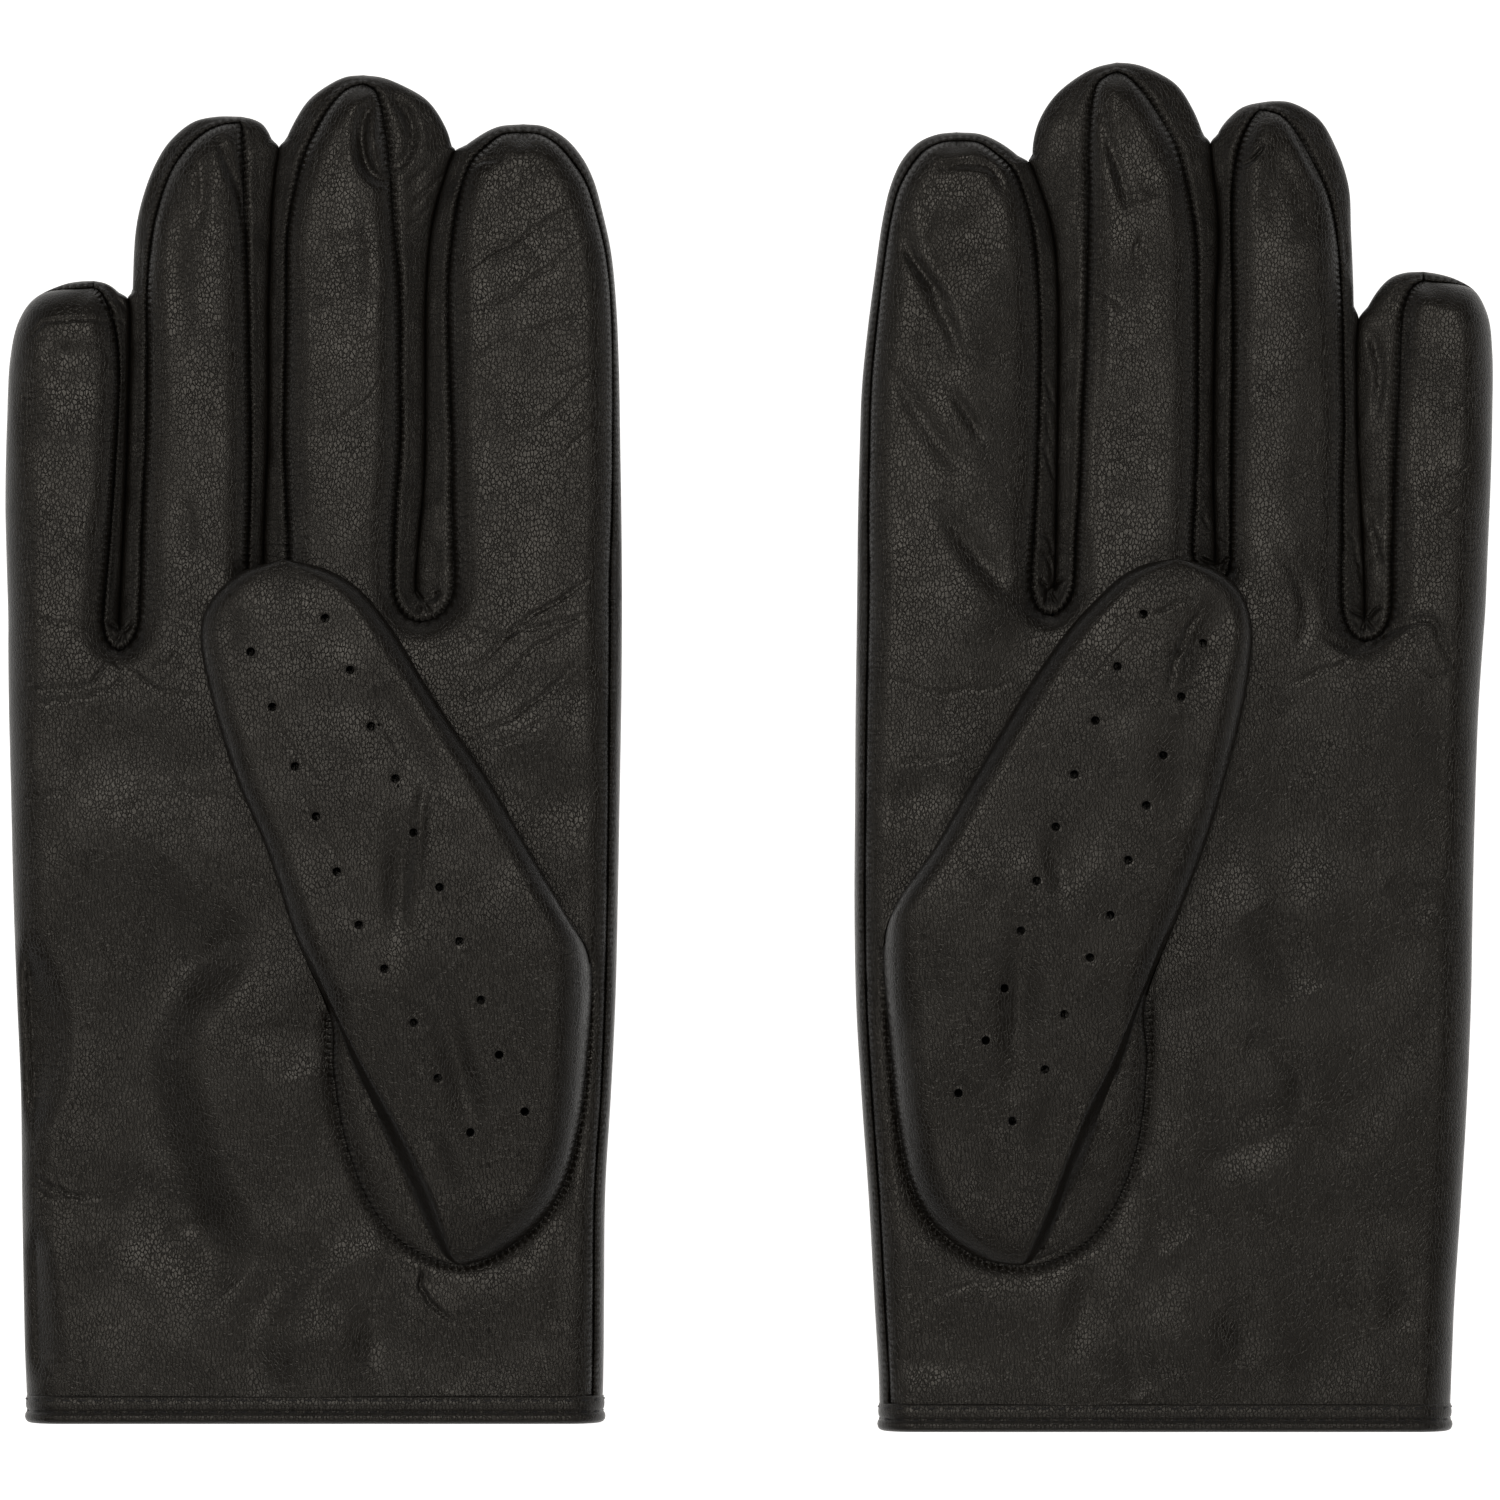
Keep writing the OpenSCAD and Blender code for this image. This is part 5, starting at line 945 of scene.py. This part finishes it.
    i_cut = int(np.argmin(np.linalg.norm(lft - ca, axis=1) + np.linalg.norm(rgt - cb, axis=1)))
    arc = np.cumsum(np.concatenate([[0], np.linalg.norm(np.diff(lft, axis=0), axis=1)]))
    sd = np.where(share[:, None] < 0.3, soft, 9.0)
    sa = np.repeat(arc[:, None], ncol, 1)
    for part, a, b in (("thumb_base", 0, i_cut + 1), ("thumb_back", i_cut, len(th))):
        v, f, nn = top[a:b].reshape(-1, 3), grid_faces(b - a, ncol), n[a:b].reshape(-1, 3)
        q = Piece().add(v, f, nn, sd[a:b], sa[a:b]).weld()
        cr = np.array(g["holes"], float)
        normal = np.array([-(cb - ca)[1], (cb - ca)[0]])
        far = (cr - ca) @ normal > 0
        mine = cr[far] if part == "thumb_back" else cr[~far]
        four = [f_ for f_ in q.f if len(f_) == 4]
        tri = [f_ for f_ in q.f if len(f_) == 3]
        v2, f2, n2 = punch(q.v[0], four, q.n[0], mine, 0.70, 0.75)
        extra = len(v2) - len(q.v[0])
        out = Piece().add(v2, list(f2) + tri, n2, np.concatenate([q.sd[0], np.full(extra, 9.0)]), np.concatenate([q.sa[0], np.zeros(extra)]))
        if part == "thumb_base":  # the stay sewn inside the thumb's mouth
            mx, my = np.meshgrid(np.linspace(9, 30, 22), np.linspace(54, 76, 23))
            stay = np.stack([mx, my, 12.6 + 0.15 * lattice(mx, my, 6, wid + 61)], 2)
            for up_ in (1, -1):
                q_ = stay + np.array([0, 0, 0.2 * up_])
                out.add(q_.reshape(-1, 3), grid_faces(23, 22, up_ < 0), grid_normals(q_, up_ < 0).reshape(-1, 3))
        made[part] = (out, "thumb" if part == "thumb_back" else None)
    # underside of the thumb, from the crease to the tip
    zb = Z_THUMB_MID - (Z_THUMB_MID - Z_THUMB_LO) * left_th * right_th
    zb = zb * m + (1 - m) * Z_THUMB_LO
    low = np.concatenate([xy, zb[:, :, None]], 2)[i_cut:]
    nl = grid_normals(low, True)
    for col, sgn in ((0, -1), (-1, 1)):
        e = low[:, col]
        tn = unit(np.stack([sgn * np.gradient(e[:, 1]), -sgn * np.gradient(e[:, 0]), 0 * e[:, 0]], 1))
        nl[8:, col] = tn[8:]
    k1 = int(np.searchsorted(t, 0.16))
    bandp, flat = Piece(), Piece()
    for a, b, piece in ((0, k1 + 1, bandp), (ncol - k1 - 1, ncol, bandp), (k1, ncol - k1, flat)):
        w = low[::2, a:b]
        piece.add(w.reshape(-1, 3), grid_faces(w.shape[0], w.shape[1], True), nl[::2, a:b].reshape(-1, 3))
    made["thumb_side_band"] = (bandp.weld(), "thumb")
    made["thumb_front"] = (flat.weld(), "thumb")

    # ---- stitches of the thumb's seam
    stp = Piece()
    seam = oval[(oval[:, 1] < 69)]
    s = np.concatenate([[0], np.cumsum(np.linalg.norm(np.diff(seam, axis=0), axis=1))])
    at = np.arange(0.6, s[-1] - 0.5, 1.25)
    px, py = np.interp(at, s, seam[:, 0]), np.interp(at, s, seam[:, 1])
    tx, ty = np.interp(at + 0.2, s, seam[:, 0]) - px, np.interp(at + 0.2, s, seam[:, 1]) - py
    zs, _, _ = front_z(px, py)
    for i in range(len(at)):
        a = unit(np.array([tx[i], ty[i], 0.0]))
        across = np.array([a[1], -a[0], 0])
        v, f, nn = stitch(np.array([px[i], py[i], zs[i] + 0.02]), across + 0.35 * a, (0, 0, 1), 0.75, 0.22, 0.3, 6, 4)
        stp.add(v, f, nn)
    made["thumb_thread"] = (stp, None)

    # ---- cuff: a binding rolled over the edge, a hem band and two rows of stitches
    xl, xr = np.interp(2, ch[0][:, 1], ch[0][:, 0]), np.interp(2, ch[4][:, 1], ch[4][:, 0])
    half, rx = Z_MID - Z_BACK, 5.6
    path = []
    for x in np.arange(slit + 1.9, xr - rx, 0.8):
        path.append((x, Z_BACK, 0, -1))
    for a in np.linspace(-90, 90, 22):
        c, s_ = math.cos(math.radians(a)), math.sin(math.radians(a))
        path.append((xr - rx + rx * c, Z_MID + half * s_, c / rx, s_ / half))
    for x in np.arange(xr - rx - 0.8, xl + rx, -0.8):
        path.append((x, Z_PALM, 0, 1))
    for a in np.linspace(90, 270, 22):
        c, s_ = math.cos(math.radians(a)), math.sin(math.radians(a))
        path.append((xl + rx + rx * c, Z_MID + half * s_, c / rx, s_ / half))
    for x in np.arange(xl + rx + 0.8, slit - 1.9, 0.8):
        path.append((x, Z_BACK, 0, -1))
    path = np.array(path)
    pts = np.stack([path[:, 0], 0 * path[:, 0], path[:, 1]], 1)
    nrm = unit(np.stack([path[:, 2], 0 * path[:, 0], path[:, 3]], 1))
    s = np.concatenate([[0], np.cumsum(np.linalg.norm(np.diff(pts, axis=0), axis=1))])
    even = np.arange(0, s[-1], 0.45)
    pts = np.stack([np.interp(even, s, pts[:, i]) for i in range(3)], 1)
    nrm = unit(np.stack([np.interp(even, s, nrm[:, i]) for i in range(3)], 1))
    wobble = 0.10 * lattice(even, 0 * even, 9, wid + 50)[:, None] * nrm
    prof = [(4.3, -1.5), (1.6, -1.6), (.55, -1.5), (.12, -1.1), (.02, -.6), (.04, -.1), (.22, .3), (.6, .58), (1.1, .68), (1.6, .6), (1.95, .36), (2.15, .16), (2.35, .3), (2.7, .46), (3.3, .52), (3.9, .48), (4.15, .36), (4.35, .42), (4.7, .36), (4.88, .1), (4.9, -.4)]
    v, f, nn = sweep(pts + wobble, nrm, prof)
    cuff = Piece().add(v, f, nn)
    made["cuff_binding"] = (cuff, None)
    stp = Piece()
    for y, off, pitch, length, wdt in ((2.12, 0.24, 2.8, 1.75, 0.34), (4.15, 0.46, 2.8, 1.75, 0.34)):
        for a in np.arange(1.6, even[-1] - 1.5, pitch):
            i = int(a / 0.45)
            tang = unit(pts[min(i + 1, len(pts) - 1)] - pts[max(i - 1, 0)])
            stp.add(*stitch(pts[i] + wobble[i] + nrm[i] * off + np.array([0, y, 0]), tang + np.array([0, 0.06, 0]), nrm[i], length, wdt, 0.3))
    made["cuff_thread"] = (stp, None)

    # ---- binding of the vent and slit
    a0 = math.degrees(math.asin(1.5 / vent[2])) * 1.25
    ang = np.radians(np.linspace(-90 + a0 + math.degrees(math.atan2(5, 26)) * 0.9, 270 - a0 + math.degrees(math.atan2(5, 26)) * 0.9, 150))
    ell = np.stack([vent[0] + vent[2] * np.cos(ang), vent[1] + vent[3] * np.sin(ang)], 1)
    right_leg = np.stack([np.full(26, slit + 1.5), np.linspace(5.0, ell[0, 1] - 1.0, 26)], 1)
    left_leg = np.stack([np.full(26, slit - 1.5), np.linspace(ell[-1, 1] - 1.0, 5.0, 26)], 1)
    line = spline(np.vstack([right_leg[::5], ell[::6], left_leg[::5]]), 0.6)
    p3 = np.concatenate([line, np.full((len(line), 1), Z_BACK + 0.35)], 1)
    tn = unit(np.gradient(line, axis=0))
    outw = np.stack([tn[:, 1], -tn[:, 0], 0 * tn[:, 0]], 1)
    prof = [(.75 * math.sin(q) * (1 if math.sin(q) > 0 else 1.0), (1.5 if math.cos(q) > 0 else 0.7) * math.cos(q)) for q in np.linspace(0, 2 * math.pi, 20, endpoint=False)]
    v, f, nn = sweep(p3, outw, prof, up=(0, 0, 1))
    made["vent_binding"] = (Piece().add(v, f, nn), None)

    # ---- wrist strap and its sewn end
    def slab(outline, z0, z1, edge):
        outline = np.asarray(outline, float)
        c = outline.mean(0)
        tn = unit(np.roll(outline, -1, 0) - np.roll(outline, 1, 0))
        on = np.stack([tn[:, 1], -tn[:, 0]], 1)
        rings, zc, hz = [], (z0 + z1) / 2, (z1 - z0) / 2
        spec = [(-edge * 3, hz), (-edge, hz), (-edge * .3, hz * .8), (0, hz * .3), (0, -hz * .3), (-edge * .3, -hz * .8), (-edge, -hz), (-edge * 3, -hz)]
        k = len(outline)
        for o, dz in spec:
            q = outline + on * o
            rings.append(np.concatenate([q, np.full((k, 1), zc + dz)], 1))
        v = np.vstack(rings)
        nr = [np.array([0, 0, 1.0]), np.array([0, 0, 1.0]), None, None, None, None, np.array([0, 0, -1.0]), np.array([0, 0, -1.0])]
        lean = [1, 1, .6, .2, -.2, -.6, -1, -1]
        n = np.vstack([np.concatenate([on * math.sqrt(max(0, 1 - e * e)), np.full((k, 1), e)], 1) for e in lean])
        f = []
        for r in range(len(spec) - 1):
            for i in range(k):
                j = (i + 1) % k
                f.append((r * k + i, (r + 1) * k + i, (r + 1) * k + j, r * k + j))
        f.append(tuple(range(k)))
        f.append(tuple(range((len(spec) - 1) * k, len(spec) * k))[::-1])
        return v, f, n

    sx, sy, hw = -1.0, 16.4, 7.0
    arc_pts = [(sx + hw * math.cos(a), sy + hw * math.sin(a)) for a in np.radians(np.linspace(90, 270, 25))]
    strap = arc_pts + [(x, sy - hw) for x in np.linspace(2, 21.9, 12)] + [(21.95, sy - hw + 0.2 + i * 2.2) for i in range(1, 7)] + [(x, sy + hw) for x in np.linspace(21.9, 2, 12)]
    made["wrist_strap"] = (Piece().add(*slab(strap, 0.8, 1.7, 0.3)), "strap")
    anchor = [(22.4, sy - hw + i * 1.4) for i in range(11)][::-1] + [(x, sy - hw) for x in np.linspace(23, 30.6, 8)] + [(31.1, sy - hw + 0.6 + i * 1.6) for i in range(9)] + [(x, sy + hw) for x in np.linspace(30.6, 23, 8)]
    made["strap_anchor"] = (Piece().add(*slab(anchor, 0.85, 2.6, 0.35)), None)
    # stitches round the strap
    stp = Piece()
    ring = np.array([(sx + (hw - 1.3) * math.cos(a), sy + (hw - 1.3) * math.sin(a)) for a in np.radians(np.linspace(90, 270, 25))])
    runs = [np.vstack([[(21.0, sy + hw - 1.3)], ring, [(21.0, sy - hw + 1.3)]])]
    for run in runs:
        s = np.concatenate([[0], np.cumsum(np.linalg.norm(np.diff(run, axis=0), axis=1))])
        for a in np.arange(1.0, s[-1] - 0.5, 2.4):
            p0 = np.array([np.interp(a, s, run[:, 0]), np.interp(a, s, run[:, 1])])
            p1 = np.array([np.interp(a + 0.3, s, run[:, 0]), np.interp(a + 0.3, s, run[:, 1])])
            stp.add(*stitch(np.array([p0[0], p0[1], 0.76]), np.array([*(p1 - p0), 0]), (0, 0, -1), 1.5, 0.3, 0.25))
    made["strap_stitching"] = (stp, "strap")
    stp = Piece()
    for x0, x1 in (((24.0, sy - 5.4), (29.8, sy - 5.4)), ((29.8, sy - 5.4), (29.8, sy + 5.4)), ((29.8, sy + 5.4), (24.0, sy + 5.4)), ((24.0, sy - 5.4), (29.8, sy + 5.4)), ((24.0, sy + 5.4), (29.8, sy - 5.4))):
        a, b = np.array(x0), np.array(x1)
        ln = np.linalg.norm(b - a)
        for q in np.arange(0.9, ln - 0.3, 2.0):
            c = a + (b - a) * q / ln
            stp.add(*stitch(np.array([c[0], c[1], 0.82]), np.array([*((b - a) / ln), 0]), (0, 0, -1), 1.3, 0.3, 0.25))
    made["anchor_stitching"] = (stp, None)
    return made, ch


NODE_OF = {"palm_panel": ["palm_panel", "outer_fold"]}
MATS = {"crotch_gussets": M_INSET, "vent_binding": M_BIND, "cuff_binding": M_BIND, "cuff_thread": M_THREAD, "thumb_thread": M_THREAD, "strap_stitching": M_THREAD, "anchor_stitching": M_THREAD, "wrist_strap": M_BIND, "strap_anchor": M_BIND}
SLOTS = {id(M_LEATHER): "leather", id(M_INSET): "leather_inset", id(M_BIND): "leather", id(M_THREAD): "thread"}
made_all = {}
for side, g in (("right", R), ("left", L)):
    made, ch = build(side, g)

    for part, (piece, joint) in made.items():
        mat = MATS.get(part, M_INSET if "fourchette" in part or part == "thumb_side_band" else M_LEATHER)
        o = piece.make(f"{side}_{part}_look", side, mat, shade=True)
        made_all[o.name] = o
        SLOTS[id(mat)]
        if part not in ("strap_stitching", "anchor_stitching"):
            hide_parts(*[f"{side}_{q}" for q in NODE_OF.get(part, [part])])
        if joint in FINGERS:
            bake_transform(o)
        elif joint == "thumb":
            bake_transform(o)
        elif joint == "strap":
            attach(o, f"{side}_strap")
        else:
            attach(o, f"{side}_hand")
    for node in ("snap_cap", "snap_socket", "snap_stud"):
        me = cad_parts[f"{side}_{node}"]
        me.data.materials.clear()
        me.data.materials.append(M_SNAP)

# ---------------------------------------------------------------- floor, light and camera
def floor():
    me = bpy.data.meshes.new("floor")
    h = 4.0
    me.from_pydata([(-h, -h, -0.0002), (h, -h, -0.0002), (h, h, -0.0002), (-h, h, -0.0002)], [], [(0, 1, 2, 3)])
    o = bpy.data.objects.new("floor", me)
    bpy.context.scene.collection.objects.link(o)
    m = bpy.data.materials.new("floor")
    m.use_nodes = True
    nt = m.node_tree
    nt.nodes.clear()
    out = nt.nodes.new("ShaderNodeOutputMaterial")
    d = nt.nodes.new("ShaderNodeBsdfDiffuse")
    d.inputs["Color"].default_value = (0.86, 0.86, 0.86, 1)
    e = nt.nodes.new("ShaderNodeEmission")
    e.inputs["Color"].default_value = (1, 1, 1, 1)
    e.inputs["Strength"].default_value = 1.0
    add = nt.nodes.new("ShaderNodeAddShader")
    nt.links.new(d.outputs[0], add.inputs[0])
    nt.links.new(e.outputs[0], add.inputs[1])
    tr = nt.nodes.new("ShaderNodeBsdfTransparent")
    geo = nt.nodes.new("ShaderNodeNewGeometry")
    mix = nt.nodes.new("ShaderNodeMixShader")
    nt.links.new(geo.outputs["Backfacing"], mix.inputs[0])
    nt.links.new(add.outputs[0], mix.inputs[1])
    nt.links.new(tr.outputs[0], mix.inputs[2])
    nt.links.new(mix.outputs[0], out.inputs[0])
    o.data.materials.append(m)
    return o


floor()


def area(name, loc, size, energy, target=(0, 0, 0)):
    d = bpy.data.lights.new(name, "AREA")
    d.shape = "RECTANGLE"
    d.size, d.size_y = size
    d.energy = energy
    d.color = (1.0, 0.93, 0.82)
    o = bpy.data.objects.new(name, d)
    bpy.context.scene.collection.objects.link(o)
    o.location = loc
    o.rotation_mode = "QUATERNION"
    o.rotation_quaternion = (Vector(target) - Vector(loc)).to_track_quat("-Z", "Y")
    return o


area("overhead", (-0.10, 0.35, 1.95), (0.75, 0.6), 6.2)
area("bank_left", (-0.80, 0.10, 1.80), (0.3, 0.9), 0.9)
area("bank_near", (0.05, -0.82, 1.80), (0.9, 0.3), 3.0)
area("rim_left", (-1.6, 0.0, 0.75), (0.6, 1.5), 1.8)
area("rim_right", (1.6, 0.0, 0.75), (0.6, 1.5), 1.8)
area("rim_far", (0.0, 1.6, 0.75), (1.5, 0.6), 1.4)
area("rim_near", (0.0, -1.6, 0.75), (1.5, 0.6), 1.4)
world_ = bpy.data.worlds.new("studio")
bpy.context.scene.world = world_
world_.use_nodes = True
bg = world_.node_tree.nodes["Background"]
bg.inputs[0].default_value = (1, 1, 1, 1)
# pale round the horizon and below, darker overhead
wn, wl = world_.node_tree.nodes.new, world_.node_tree.links.new
where_ = wn("ShaderNodeTexCoord")
xyz = wn("ShaderNodeSeparateXYZ")
wl(where_.outputs["Generated"], xyz.inputs[0])
up = wn("ShaderNodeMapRange")
up.interpolation_type = "SMOOTHSTEP"
wl(xyz.outputs["Z"], up.inputs["Value"])
for k_, w_ in (("From Min", 0.10), ("From Max", 0.60), ("To Min", 0.40), ("To Max", 0.04)):
    up.inputs[k_].default_value = w_
wl(up.outputs["Result"], bg.inputs[1])

cam_d = bpy.data.cameras.new("camera")
cam = bpy.data.objects.new("camera", cam_d)
bpy.context.scene.collection.objects.link(cam)
cam_d.sensor_width = 36
cam_d.lens = 200
cam.location = (0.0002, -0.0006, 0.0115 + 0.2595 * 200 / 36)
cam.rotation_euler = (0, 0, 0)
vs = bpy.context.scene.view_settings
vs.view_transform, vs.look, vs.exposure, vs.gamma = "Standard", "None", 0.0, 1.0
cam_d.clip_start, cam_d.clip_end = 0.05, 20
bpy.context.scene.camera = cam

bpy.context.view_layer.update()
